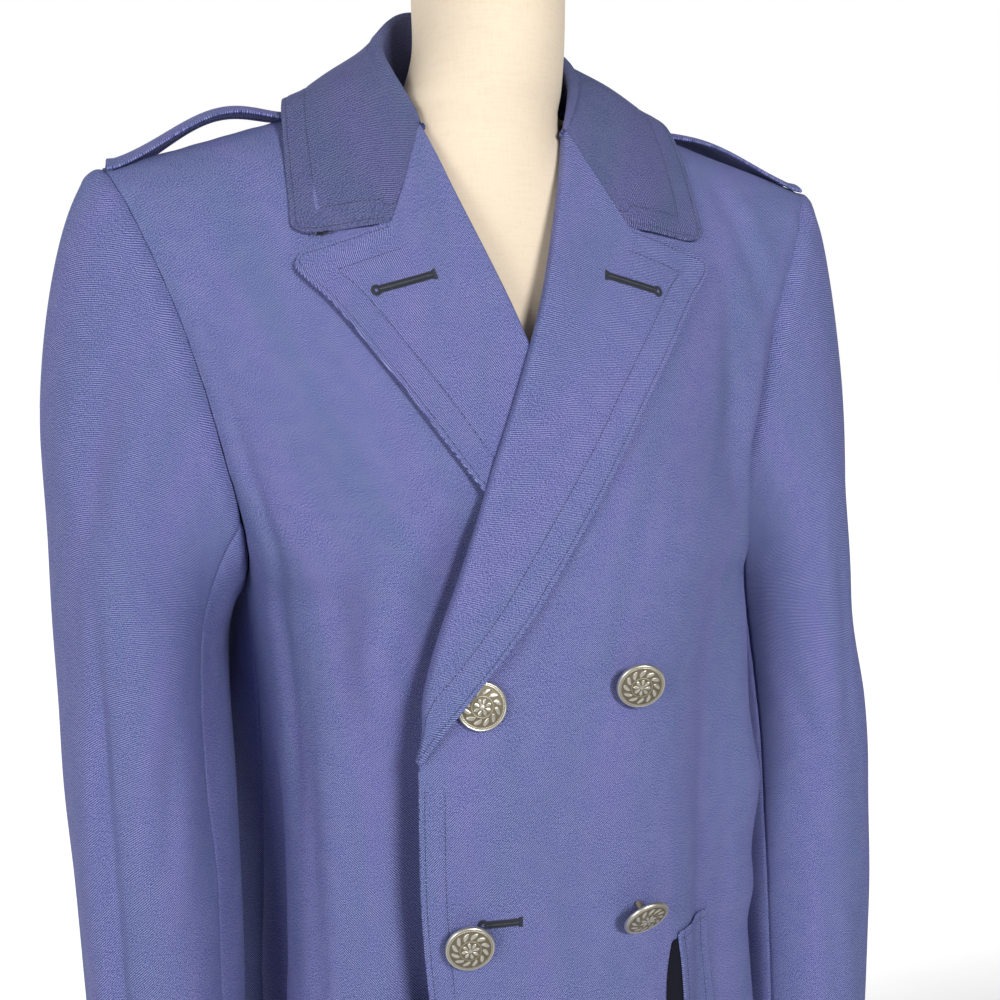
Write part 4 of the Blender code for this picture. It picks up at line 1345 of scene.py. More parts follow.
@dataclass
class Body:
    """Two fronts and two backs, sewn at the sides, the shoulders and the middle back."""

    skirt_rows: int = 100
    dome_rows: int = 70
    columns: int = 78
    neck_columns: int = 18
    edge_columns: int = 24
    edge_share: float = 0.075       # of the front's width, where the stitched lines lie
    stitch_inset: float = 0.0150
    stitch_edge: float = 0.0030
    under_lap: float = 0.0140
    roll_under: float = 0.0080
    pieces: dict = field(default_factory=dict)

    def rows(self) -> Array:
        """Row values: 0 hem, 1 armpit, 2 shoulder seam, closer together near the seam.

        Returns:
            The row values, in rising order.
        """
        skirt = steps(self.skirt_rows)
        dome = 2.0 - (1.0 - steps(self.dome_rows)[1:]) ** 2
        return np.concatenate([skirt, dome])

    def shares(self, face: Face) -> Array:
        """Places from the free edge to the side, close together where stitching shows.

        Args:
            face: Front or back.

        Returns:
            Shares of the panel's width.
        """
        if face is Face.BACK:
            return np.sin(math.pi / 2 * steps(self.columns))
        edge = self.edge_share * steps(self.edge_columns)[:-1]
        start = math.asin(self.edge_share) / (math.pi / 2)
        return np.concatenate([edge, np.sin(math.pi / 2 * blend(start, 1.0, steps(self.columns)))])

    def plain_grid(self, side: Side, face: Face) -> Array:
        """Points of the plain surface under a front or back.

        Args:
            side: The wearer's left or right.
            face: Front or back.

        Returns:
            Points in rows and columns.
        """
        row = self.rows()[:, None]
        low = row <= 1.0
        t = np.where(low, 0.0, row - 1.0)
        level = np.where(low, blend(COAT.hem_z, COAT.armpit_z, row), COAT.armpit_z)
        edge = COAT.side_x(level, t)
        height = np.where(low, level, blend(COAT.armpit_z, COAT.neck_z, t))
        share = self.shares(face)[None, :]
        if face is Face.FRONT:
            x = blend(COAT.roll_x(height), edge, share)
        else:
            neck = COAT.neck_x / COAT.tip_x
            inner = neck * np.sin(math.pi / 2 * steps(self.neck_columns)[:-1])[None, :]
            x = edge * np.concatenate([inner, blend(neck, 1.0, share)], axis=1)
        x = x * side.value
        z = np.where(low, level, blend(COAT.armpit_z, COAT.ridge_z(x), t))
        t = np.broadcast_to(t, x.shape)
        z = np.broadcast_to(z, x.shape)
        return np.stack([x, COAT.surface_y(face, x, z, t), z], axis=-1)

    def plain_normals(self, side: Side, face: Face, grid: Array) -> Array:
        """Normals that agree with the neighbouring panels at the seams.

        Args:
            side: The wearer's left or right.
            face: Front or back.
            grid: Points in rows and columns.

        Returns:
            A unit vector for each point.
        """
        normals = grid_normals(grid, outward(side, face))
        normals[:self.skirt_rows + 1, -1, 1] = 0.0
        if face is Face.BACK:
            normals[:, 0, 0] = 0.0
        return unit(normals)

    def under_fold(self, x: Array, z: Array) -> Array:
        """How far the under front sinks beside the overlap and rises again under the roll.

        Args:
            x: Places across.
            z: Heights.

        Returns:
            The distance out, minus where the cloth sinks.
        """
        beside = x - COAT.roll_x(z)
        low = 1.0 - smooth((z - 1.21) / 0.06)
        deep = blend(1.0, 1.8, 1.0 - smooth((z - 1.05) / 0.10))
        sink = self.under_lap * deep * low * bump(beside + 0.001, 0.024)
        return self.roll_under * low * bump(beside + 0.036, 0.021) - sink

    def build(self, cloth: Material) -> None:
        """Make the four panels.

        Args:
            cloth: Finish of the cloth.
        """
        for side in Side:
            for face in Face:
                grid = self.plain_grid(side, face)
                normals = self.plain_normals(side, face, grid)
                x, z = grid[..., 0], grid[..., 2]
                move = COAT.fold_out(face, x, z)
                if face is Face.FRONT:
                    move = move + COAT.over_lift(side, x, z)
                    if side is Side.RIGHT:
                        move = move + self.under_fold(x, z)
                label = f"{face.name.lower()}_{side.word}"
                piece = ClothPiece(
                    label, grid + normals * move[..., None], outward(side, face),
                    normals=normals, grain_start=float(grid[0, 0, 0]),
                )
                self.finish_edges(piece, side, face)
                piece.dress(cloth, ["form_torso"], "navy_gabardine")
                self.pieces[side, face] = piece

    def finish_edges(self, piece: ClothPiece, side: Side, face: Face) -> None:
        """Sink the seams and press the stitched lines.

        Args:
            piece: Panel to finish.
            side: The wearer's side that it lies on.
            face: Front or back.
        """
        piece.dip("last", 0.0010, 0.0035, 0.00018)
        piece.dip("top", 0.0009, 0.0035, 0.00016)
        piece.groove(piece.away("low"), 0.030, 0.0004, 0.0012)
        if face is Face.BACK:
            piece.dip("first", 0.0010, 0.0030, 0.00012)
            return
        away = piece.away("first")
        straight = np.where(piece.outer[..., 2] < COAT.break_z, away, 1.0)
        piece.groove(straight, self.stitch_inset, 0.00055, 0.0011)
        piece.groove(straight, self.stitch_edge, 0.00040, 0.0009)
        self.hip_seam(piece, side)

    def hip_seam(self, piece: ClothPiece, side: Side) -> None:
        """Press the level seam from the pocket to the side, lower on the wearer's right.

        Args:
            piece: Piece to work on.
            side: The wearer's left or right.
        """
        x, z = np.abs(piece.outer[..., 0]), piece.outer[..., 2]
        level, slope = (0.972, 0.10) if side is Side.LEFT else (0.948, -0.04)
        height = level - slope * (x - 0.12)
        piece.raise_face(-0.0006 * bump(z - height, 0.0012) * smooth((x - 0.112) / 0.006))

    def sew(self, stitching: Stitching) -> None:
        """Topstitch the straight front edges.

        Args:
            stitching: Takes the stitches.
        """
        for side in Side:
            piece = self.pieces[side, Face.FRONT]
            away = piece.away("first")
            rows = np.flatnonzero(piece.outer[:, 0, 2] < COAT.break_z - 0.004)
            for inset in (self.stitch_inset, self.stitch_edge):
                stitching.run(*piece.point(rows, reach_in_lines(away[rows], inset), -0.00012))


# ---- sleeves


# troughs (out < 0) and swells (out > 0) of a sleeve: turn is 0 outward, 90 ahead, in degrees
SLEEVE_CREASES = [Crease(*row) for row in (
    (30, 38, 1.30, 1.08, 22, -0.0050),
    (44, 40, 1.16, 0.78, 16, 0.0050),
    (150, 130, 1.20, 1.00, 24, -0.0040),
    (-60, -75, 1.28, 0.92, 26, -0.0050),
    (-120, -110, 1.10, 0.80, 24, -0.0040),
)]
OWN_CREASES = {
    Side.LEFT: [
        Crease(66, 74, 1.25, 1.02, 8, -0.0022),
        Crease(84, 88, 1.33, 1.12, 7, 0.0016),
        Crease(118, 96, 1.12, 1.02, 9, -0.0024),
        Crease(100, 84, 1.00, 0.86, 9, -0.0018),
        Crease(-96, -88, 1.34, 1.10, 9, -0.0024),
    ],
    Side.RIGHT: [
        Crease(57, 55, 1.23, 0.80, 6, -0.0062),
        Crease(62, 54, 1.42, 1.18, 15, -0.0085),
        Crease(148, 140, 1.24, 0.80, 30, -0.0080),
        Crease(-150, -150, 1.26, 0.90, 26, 0.0070),
        Crease(104, 92, 1.13, 1.00, 9, -0.0024),
        Crease(78, 70, 1.02, 0.84, 8, 0.0014),
        Crease(-100, -90, 1.32, 1.08, 9, -0.0022),
    ],
}


@dataclass
class Sleeves:
    """Upper and under sleeves, hung from the armholes and bent forward at the elbow."""

    body: Body
    cap_rows: int = 46
    arm_rows: int = 90
    upper_columns: int = 90
    under_columns: int = 42
    cap_gap: float = 0.0004
    pull_top: float = 0.42
    pull_low: float = 0.90
    front_seam_t: float = 0.1536
    back_seam_t: float = 0.3111

    def crease_out(self, side: Side, turn: Array, z: Array) -> Array:
        """How far the creases move the sleeve's cloth out.

        Args:
            side: The wearer's left or right.
            turn: Angles round, in degrees.
            z: Heights.

        Returns:
            The distance out.
        """
        total = np.zeros_like(z)
        for crease in SLEEVE_CREASES + OWN_CREASES[side]:
            down = (crease.z_top - z) / (crease.z_top - crease.z_low)
            middle = blend(crease.turn_top, crease.turn_low, np.clip(down, 0.0, 1.0))
            apart = (turn - middle + 180.0) % 360.0 - 180.0
            swell = smooth(down * 3.0) * smooth((1.0 - down) * 3.0)
            total = total + crease.out * swell * bump(apart, crease.width)
        phase = 0.9 if side is Side.LEFT else 0.0
        total = total + 0.0005 * np.sin(0.05 * turn + 31.0 * z + phase)
        return total + 0.0003 * np.sin(0.11 * turn - 58.0 * z + 2.0 * phase)

    def ring_point(self, side: Side, level: Array, turn: Array) -> Array:
        """Points of the hanging sleeve: level 0 is the biceps ring and 1 the cuff.

        Args:
            side: The wearer's left or right.
            level: 0 at the biceps, 1 at the cuff.
            turn: Angles round, in degrees.

        Returns:
            The points.
        """
        z = blend(SLEEVE[0].z, SLEEVE[-1].z, level)
        rows = SLEEVE[::-1]
        place = {name: between_rows(rows, "z", z, name) for name in Ring._fields[1:]}
        angle = np.radians(turn)
        height = z + place["tilt"] * np.cos(angle)
        swell = self.crease_out(side, turn, height)
        x = place["x"] + (place["half_x"] + swell) * np.cos(angle)
        y = place["y"] - (place["half_y"] + swell) * np.sin(angle)
        return np.stack([side.value * x, y, height], axis=-1)

    def armhole(self, side: Side) -> tuple[Array, Array, Array, float, float]:
        """Follow the armhole from the armpit over the shoulder and back.

        Args:
            side: Which sleeve.

        Returns:
            Turns in falling order, outer points, inner points, and the turns of
            the front and back sleeve seams.
        """
        start = self.body.skirt_rows
        front = self.body.pieces[side, Face.FRONT]
        back = self.body.pieces[side, Face.BACK]
        ahead = row_runs(front.outer[None, start:, -1])[0]
        behind = row_runs(back.outer[None, start:, -1][:, ::-1])[0]
        ahead, behind = ahead / ahead[-1], behind / behind[-1]
        t = self.body.rows()[start:] - 1.0
        front_turn = 180.0 * (1.0 - np.interp(self.front_seam_t, t, ahead))
        back_turn = -180.0 * np.interp(-self.back_seam_t, -t[::-1], behind)
        turns = np.concatenate([180.0 * (1.0 - ahead), -180.0 * behind[1:]])
        outer = np.concatenate([front.outer[start:, -1], back.outer[start:, -1][-2::-1]])
        inner = np.concatenate([front.inner[start:, -1], back.inner[start:, -1][-2::-1]])
        return turns, outer, inner, float(front_turn), float(back_turn)

    def cap_start(self, side: Side, turn: Array) -> Array:
        """Direction and pull of the cloth as it leaves the armhole.

        Args:
            side: The wearer's left or right.
            turn: Angles round, in degrees.

        Returns:
            A vector for each turn.
        """
        over = (1.0 + np.cos(np.radians(turn))) / 2
        aim = np.stack([
            blend(0.35, 1.0, over) * side.value, -0.30 * np.sin(np.radians(turn)),
            blend(-0.75, -0.05, over ** 0.7),
        ], axis=-1)
        return unit(aim) * blend(self.pull_low, self.pull_top, over)[..., None]

    def grid(self, side: Side, turn: Array) -> tuple[Array, Array]:
        """Outer and inner points of a sleeve over the turns given.

        Args:
            side: The wearer's left or right.
            turn: Angles round, in degrees.

        Returns:
            Outer and inner points.
        """
        ring_turns, ring, ring_inner, _, _ = self.armhole(side)
        order = np.argsort(ring_turns)
        wrapped = (turn + 180.0) % 360.0 - 180.0

        def read(values: Array) -> Array:
            """Read the armhole at the turns."""
            return np.stack([
                np.interp(wrapped, ring_turns[order], values[order, k]) for k in range(3)
            ], axis=-1)

        gap = np.array([side.value * self.cap_gap, 0.0, 0.0])
        first = read(ring) + gap
        target = self.ring_point(side, np.zeros_like(wrapped), wrapped)
        ahead = self.ring_point(side, np.full_like(wrapped, 0.05), wrapped)
        reach = np.linalg.norm(target - first, axis=-1, keepdims=True)
        leave = self.cap_start(side, wrapped) * reach
        hang = unit(ahead - target) * reach
        s = (np.arange(self.cap_rows) / self.cap_rows)[:, None, None] ** 1.25
        cap = hermite(s, first, leave, hang, target)
        level = steps(self.arm_rows)[:, None]
        arm = self.ring_point(side, level + 0.0 * wrapped, wrapped + 0.0 * level)
        outer = np.concatenate([cap, arm])
        normals = grid_normals(outer, -side.value)
        inner = outer - normals * COAT.wall
        own = smooth((np.abs(wrapped) - 60.0) / 60.0)[:, None]
        inner[0] = blend(read(ring_inner) + gap, inner[0], own)
        return outer, inner

    def build(self, cloth: Material) -> None:
        """Make both sleeves, each of two pieces.

        Args:
            cloth: Finish of the cloth.
        """
        for side in Side:
            _, _, _, front_turn, back_turn = self.armhole(side)
            spans = {
                "upper": np.linspace(front_turn, back_turn, self.upper_columns + 1),
                "under": np.linspace(back_turn, front_turn - 360.0, self.under_columns + 1),
            }
            for label, turns in spans.items():
                outer, inner = self.grid(side, turns)
                name = f"sleeve_{label}_{side.word}"
                piece = ClothPiece(name, outer, -side.value, inner=inner, grain_turn=0.06)
                piece.dip("first", 0.0009, 0.0030, 0.00012)
                piece.dip("last", 0.0009, 0.0030, 0.00012)
                from_cap = piece.away("low")
                fullness = 0.0013 * bump(from_cap - 0.010, 0.007) - 0.0008 * bump(from_cap, 0.003)
                piece.raise_face(fullness * (1.0 + 0.35 * np.sin(row_runs(piece.outer) * 290.0)))
                piece.groove(piece.away("top"), 0.035, 0.0004, 0.0012)
                self.trim_seams(piece)
                piece.dress(cloth, [f"front_{side.word}", f"back_{side.word}"], "navy_gabardine")

    def trim_seams(self, piece: ClothPiece) -> None:
        """Draw the long edges back by half a seam gap.

        Args:
            piece: Piece to work on.
        """
        half = COAT.seam_gap / 2
        for grid in (piece.outer, piece.inner):
            grid[:, 0] += unit(grid[:, 1] - grid[:, 0]) * half
            grid[:, -1] += unit(grid[:, -2] - grid[:, -1]) * half


# ---- lapels


def gorge_line(share: Array, corner: tuple[float, float]) -> list[Array]:
    """Bend a lapel's or collar's end at the notch.

    Args:
        share: Places across, from the roll to the corner.
        corner: The x and z where the line ends.

    Returns:
        The x and z of each place.
    """
    stops = [0.0, NOTCH_SHARE, 1.0]
    lines = zip((COAT.gorge_x, COAT.gorge_z), NOTCH, corner)
    return [np.interp(share, stops, line) for line in lines]


@dataclass
class Lapels:
    """Turned-back lapels with a soft roll, a peaked corner and two stitched lines."""

    rows: int = 120
    start: float = 0.012
    soft_lift: float = 0.0062
    roll_bulge: float = 0.0022
    edge_lift: float = 0.0022
    roll_reach: float = 0.016
    corner_radius: float = 0.011
    stitch_inset: float = 0.0190
    stitch_edge: float = 0.0030
    roll_turns: tuple = (-35.0, -10.0, 15.0, 40.0, 65.0)
    pieces: dict = field(default_factory=dict)

    def across(self) -> Array:
        """Places from the roll to the outer edge, close together where stitching shows."""
        return spread((0.0, 0.66, 34), (0.66, 0.86, 26), (0.86, 1.0, 34))

    def overlay(self, distance: Array, bulge: Array) -> Array:
        """How high the outer face lies at a distance from its roll."""
        return COAT.wall + COAT.lay_gap + bulge * bump(distance, self.roll_reach)

    def plan(self) -> tuple[Array, Array, Array, Array]:
        """Places of the lapel's grid past the middle: x, z, distance from the roll, along.

        Returns:
            The x, the z, the distance from the roll and the share along it.
        """
        along = blend(self.start, 1.0, steps(self.rows))[:, None]
        share = self.across()[None, :]
        corner = LAPEL_EDGE[-1]
        bent = gorge_line(share, (corner.x, corner.z))
        places, roll = [], []
        for axis, gorge, bend in (("x", COAT.gorge_x, bent[0]), ("z", COAT.gorge_z, bent[1])):
            start = between_rows(ROLL_EDGE, "along", along, axis)
            end = between_rows(LAPEL_EDGE, "along", along, axis)
            pull = (bend - blend(gorge, getattr(corner, axis), share)) * along ** 5
            places.append(blend(start, end, share) + pull)
            roll.append(places[-1] - start)
        return places[0], places[1], np.hypot(*roll), np.broadcast_to(along, places[0].shape)

    def grid(self, side: Side) -> Array:
        """Outer points of a lapel, from inside its roll to its outer edge.

        Args:
            side: The wearer's left or right.

        Returns:
            Points in rows and columns.
        """
        x, z, distance, along = self.plan()
        if side is Side.LEFT:
            bulge = np.full_like(x, self.roll_bulge)
            soft = self.soft_lift * smooth((along - 0.01) / 0.15) * (1.0 - smooth((along - 0.16) / 0.30))
        else:
            bulge = self.roll_bulge * smooth((z - COAT.v_z + 0.02) / 0.05)
            soft = np.zeros_like(x)
        away = distance[:, -1:] - distance
        proud = self.edge_lift * (1.0 - smooth(away / 0.016)) * smooth((along - 0.04) / 0.12)
        out = self.overlay(distance, bulge) + soft + proud
        leaf = COAT.front_point(side, x, z, out)
        leaf = round_corner(leaf, -1, -1, self.corner_radius)
        centre = COAT.front_point(side, x[:, :1], z[:, :1], -COAT.wall / 2)[:, 0]
        over = leaf[:, 0] - centre
        away = unit(leaf[:, 0] - leaf[:, 4])
        height = np.linalg.norm(over, axis=-1, keepdims=True)
        away = unit(away - over * (away * over).sum(-1, keepdims=True) / height ** 2)
        roll = [
            centre + away * (0.55 * height) * math.cos(math.radians(turn))
            + over * math.sin(math.radians(turn))
            for turn in self.roll_turns
        ]
        return np.concatenate([np.stack(roll, axis=1), leaf], axis=1)

    def build(self, cloth: Material) -> None:
        """Make both lapels, with their stitched lines pressed in.

        Args:
            cloth: Finish of the cloth.
        """
        for side in Side:
            piece = ClothPiece(
                f"lapel_{side.word}", self.grid(side), side.value, wall=0.0016,
                grain_turn=0.42 * side.value,
            )
            self.edge_lines(piece)
            piece.dress(cloth, [f"front_{side.word}"], "navy_gabardine_collar")
            self.pieces[side] = piece

    def edge_lines(self, piece: ClothPiece) -> None:
        """Press the stitched lines in, nearer to the edge where the lapel is narrow.

        Args:
            piece: Piece to work on.
        """
        outer = piece.away("last")
        top = piece.away("top")
        narrow = np.minimum(1.0, 0.45 * row_runs(piece.outer)[:, -1:] / self.stitch_inset)
        past = np.arange(piece.outer.shape[1]) < len(self.roll_turns) + 33 * NOTCH_SHARE
        top = np.where(past[None, :], 1.0, top)
        piece.groove(np.minimum(outer, top), self.stitch_edge, 0.00038, 0.0009)
        piece.groove(np.minimum(outer / narrow, top), self.stitch_inset, 0.00045, 0.0010)

    def sew(self, stitching: Stitching) -> None:
        """Sew both lines round each lapel's free edges.

        Args:
            stitching: Takes the stitches.
        """
        share = self.across()
        notch = len(self.roll_turns) + float(np.interp(NOTCH_SHARE, share, np.arange(len(share))))
        for piece in self.pieces.values():
            outer = piece.away("last")
            top = piece.away("top")
            rows = np.arange(len(outer), dtype=float)
            columns = np.arange(outer.shape[1], dtype=float)
            for inset in (self.stitch_inset, self.stitch_edge):
                away = np.minimum(inset, 0.45 * row_runs(piece.outer)[:, -1])
                j = reach_in_lines(-outer, -away)
                i = reach_in_lines(-top.T, -inset)
                keep = read_lines(top, j) > inset
                after = (read_lines(outer.T, i) > inset) & (columns > notch)
                path_i = np.concatenate([rows[keep], i[after][::-1]])
                path_j = np.concatenate([j[keep], columns[after][::-1]])
                stitching.sew(piece, path_i, path_j)


# ---- collar


@dataclass
class Collar:
    """Stand and fall in one, from gorge to gorge round the back of the neck."""

    half_rows: int = 92
    stand_steps: int = 10
    fold_steps: int = 9
    fold_radius: float = 0.0048
    leaf_bulge: float = 0.003
    end_turn: float = 22.0
    end_reach: float = 0.65
    corner_radius: float = 0.008
    stitch_inset: float = 0.0165
    edge_lift: float = 0.0020
    stitch_edge: float = 0.0030
    gorge_length: float = 0.018
    piece: ClothPiece | None = None

    def shares(self) -> Array:
        """Places down the leaf, from the fold to the outer edge."""
        return spread((0.0, 0.50, 26), (0.50, 0.80, 24), (0.80, 1.0, 28))

    def folded(self, u: Array) -> Array:
        """Stand, fold and leaf of the free collar on the wearer's left.

        Args:
            u: Places from the middle back to the gorge, 0 to 1.

        Returns:
            Points in rows and columns.
        """
        place = {name: between_rows(COLLAR, "u", u, name) for name in CollarRow._fields[1:]}
        seam, fold = (
            np.stack([place[f"{line}_{axis}"] for axis in "xyz"], axis=-1) for line in ("seam", "fold")
        )
        edge_z = COAT.shoulder_z(place["edge_x"], place["edge_y"]) + place["clear"]
        edge = np.stack([place["edge_x"], place["edge_y"], edge_z], axis=-1)
        up = np.array([0.0, 0.0, 1.0])
        away = unit((edge - fold) * np.array([1.0, 1.0, 0.0]))
        middle = fold - up * self.fold_radius
        inside = middle - away * self.fold_radius
        row = [blend(seam, inside, k / self.stand_steps) for k in range(self.stand_steps)]
        for k in range(self.fold_steps):
            turn = math.pi * (1.0 - k / self.fold_steps)
            row.append(middle + (away * math.cos(turn) + up * math.sin(turn)) * self.fold_radius)
        start = middle + away * self.fold_radius
        for share in self.shares():
            bulge = self.leaf_bulge * 4.0 * share * (1.0 - share)
            row.append(blend(start, edge, share) + (away * 0.6 + up * 0.8) * bulge)
        return np.stack(row, axis=1)

    def flat(self, lapels: "Lapels") -> Array:
        """End of the collar, lying on the left front along the gorge seam.

        Args:
            lapels: The lapels that it joins.

        Returns:
            One row of points.
        """
        share = self.shares()
        x, z = gorge_line(share, COLLAR_CORNER)
        distance = np.hypot(x - COAT.gorge_x, z - COAT.gorge_z)
        out = lapels.overlay(distance, np.full_like(distance, lapels.roll_bulge))
        leaf = COAT.front_point(Side.LEFT, x, z, out)
        middle = COAT.front_point(Side.LEFT, COAT.gorge_x, COAT.gorge_z, -COAT.wall / 2)
        over = leaf[0] - middle
        back = np.array([-1.0, 0.0, 0.0])
        back = unit(back - over * (back @ over) / (over @ over)) * np.linalg.norm(over) * self.end_reach
        count = self.stand_steps + self.fold_steps
        turn = np.radians(blend(self.end_turn, 90.0, np.arange(count) / count))[:, None]
        return np.concatenate([middle + back * np.cos(turn) + over * np.sin(turn), leaf])

    def grid(self, lapels: "Lapels") -> Array:
        """Outer points of the whole collar, from the wearer's right to the left.

        Args:
            lapels: The lapels that it joins.

        Returns:
            Points in rows and columns.
        """
        u = steps(self.half_rows)
        onto = smooth((u - 0.74) / 0.26)[:, None, None]
        left = blend(self.folded(u), self.flat(lapels)[None], onto)
        right = left[:0:-1] * np.array([-1.0, 1.0, 1.0])
        grid = np.concatenate([right, left])
        grid = round_corner(grid, 0, -1, self.corner_radius)
        return round_corner(grid, -1, -1, self.corner_radius)

    def build(self, cloth: Material, lapels: "Lapels") -> None:
        """Make the collar with its stitched lines and soft unevenness.

        Args:
            cloth: Finish of the cloth.
            lapels: The lapels that it joins.
        """
        grid = self.grid(lapels)
        piece = ClothPiece("collar", grid, -1)
        leaf = np.arange(grid.shape[1]) >= self.stand_steps + self.fold_steps
        x = grid[..., 0]
        waver = 0.0007 * np.sin(x * 74.0 + 0.6) + 0.0004 * np.sin(x * 131.0 + 2.0)
        waver = waver + self.edge_lift * (1.0 - smooth(edge_distance(grid, "last") / 0.016))
        piece.move_out(waver * leaf)
        self.piece = piece
        near = self.edge_reach()
        piece.groove(near, self.stitch_edge, 0.00040, 0.0009)
        piece.groove(near, self.stitch_inset, 0.00045, 0.0011)
        piece.dress(cloth, ["form_torso", "back_left", "back_right"], "navy_gabardine_collar")

    def notch_column(self) -> float:
        """Column where the collar's end leaves the gorge seam.

        Returns:
            The fractional column.
        """
        share = self.shares()
        first = self.stand_steps + self.fold_steps
        return first + float(np.interp(NOTCH_SHARE, share, np.arange(len(share))))

    def edge_reach(self) -> Array:
        """Distance to the nearest free edge.

        Returns:
            The distance of each point.
        """
        grid = self.piece.outer
        free = np.arange(grid.shape[1]) > self.notch_column()
        ends = np.minimum(edge_distance(grid, "low"), edge_distance(grid, "top"))
        return np.minimum(edge_distance(grid, "last"), np.where(free, ends, 1.0))

    def end_path(self, edge: str, inset: float) -> Array:
        """Follow one end of the fall, and the inner line on into the gorge seam.

        Args:
            edge: Low for the wearer's right end, top for the left one.
            inset: Distance of the line from the edge.

        Returns:
            Rows and columns of the path, from the neck outwards.
        """
        grid = self.piece.outer
        notch = self.notch_column()
        columns = np.arange(grid.shape[1], dtype=float)
        sign = 1.0 if edge == "low" else -1.0
        line = reach_in_lines(sign * edge_distance(grid, edge).T, sign * inset)
        beside = read_lines(edge_distance(grid, "last").T, line)
        keep = (beside > inset) & (columns > notch)
        path = np.array([line[keep], columns[keep]])
        if inset != self.stitch_inset:
            return path
        end = 0 if edge == "low" else len(grid) - 1
        way = edge_distance(grid, "first")[end]
        target = np.interp(way[int(notch)] - self.gorge_length, way, columns)
        inner = blend(np.array([[end], [target]]), path[:, :1], np.linspace(0.0, 1.0, 12)[:-1])
        return np.concatenate([inner, path], axis=1)

    def sew(self, stitching: Stitching) -> None:
        """Sew both lines round the fall, the inner one as far as the gorge seams.

        Args:
            stitching: Takes the stitches.
        """
        grid = self.piece.outer
        for inset in (self.stitch_inset, self.stitch_edge):
            j = reach_in_lines(-edge_distance(grid, "last"), -inset)
            ends = [read_lines(edge_distance(grid, edge), j) for edge in ("low", "top")]
            keep = np.minimum(*ends) > inset
            path = np.concatenate([
                self.end_path("low", inset), np.array([np.arange(len(grid))[keep], j[keep]]),
                self.end_path("top", inset)[:, ::-1],
            ], axis=1)
            stitching.sew(self.piece, *path)


# ---- shoulder straps, pockets


@dataclass
class ShoulderStraps:
    """Straps sewn into the sleeve heads, which run in under the collar."""

    outer_x: float = 0.2390
    free_x: float = 0.128
    inner_x: float = 0.104
    width: float = 0.050
    taper: float = 0.80
    middle_y: float = 0.004
    arch: float = 0.003
    lay_gap: float = 0.0001
    skew: float = 1.35
    peak: float = 1.4
    bow_left: float = 0.0065
    bow_right: float = 0.0135
    stitch_edge: float = 0.0040
    rows: int = 110
    columns: int = 34
    pieces: dict = field(default_factory=dict)

    def grid(self, side: Side) -> Array:
        """Outer points of a strap, from the sleeve head inwards.

        Args:
            side: The wearer's left or right.

        Returns:
            Points in rows and columns.
        """
        along = steps(self.rows)[:, None]
        share = (0.5 - 0.5 * np.cos(math.pi * steps(self.columns)))[None, :]
        x = blend(self.outer_x, self.inner_x, along) + 0.0 * share
        half = blend(self.width, self.width * self.taper, along) / 2
        free = np.minimum(1.0, (self.outer_x - x) / (self.outer_x - self.free_x))
        bow = self.bow_left if side is Side.LEFT else self.bow_right
        y = self.middle_y + half * (1.0 - 2.0 * share)
        back = COAT.shoulder_z(x[:, :1], self.middle_y + half)
        front = COAT.shoulder_z(x[:, :1], self.middle_y - half)
        top = np.maximum(
            blend(back, front, share) + self.arch * 4.0 * share * (1.0 - share),
            COAT.shoulder_z(x, y),
        )
        lift = bow * np.clip(np.sin(math.pi * free ** self.skew), 0.0, 1.0) ** self.peak
        return np.stack([x * side.value, y, top + lift + COAT.wall + self.lay_gap], axis=-1)

    def build(self, cloth: Material) -> None:
        """Make both straps.

        Args:
            cloth: Finish of the cloth.
        """
        for side in Side:
            word = side.word
            piece = ClothPiece(f"epaulette_{word}", self.grid(side), side.value, grain_turn=1.45)
            sides = np.minimum(piece.away("first"), piece.away("last"))
            piece.groove(sides, self.stitch_edge, 0.00045, 0.0010)
            piece.raise_face(0.0006 * bump(sides - 0.011, 0.008))
            piece.dip("low", 0.0010, 0.0030, 0.0001)
            piece.dress(cloth, [f"front_{word}", f"sleeve_upper_{word}"], "navy_gabardine")
            self.pieces[side] = piece

    def sew(self, stitching: Stitching) -> None:
        """Topstitch both long edges of each strap.

        Args:
            stitching: Takes the stitches.
        """
        for piece in self.pieces.values():
            rows = np.arange(len(piece.outer), dtype=float)
            columns = reach_in_lines(-piece.away("last"), -self.stitch_edge)
            for path in (columns, self.columns - columns):
                stitching.sew(piece, rows, path)


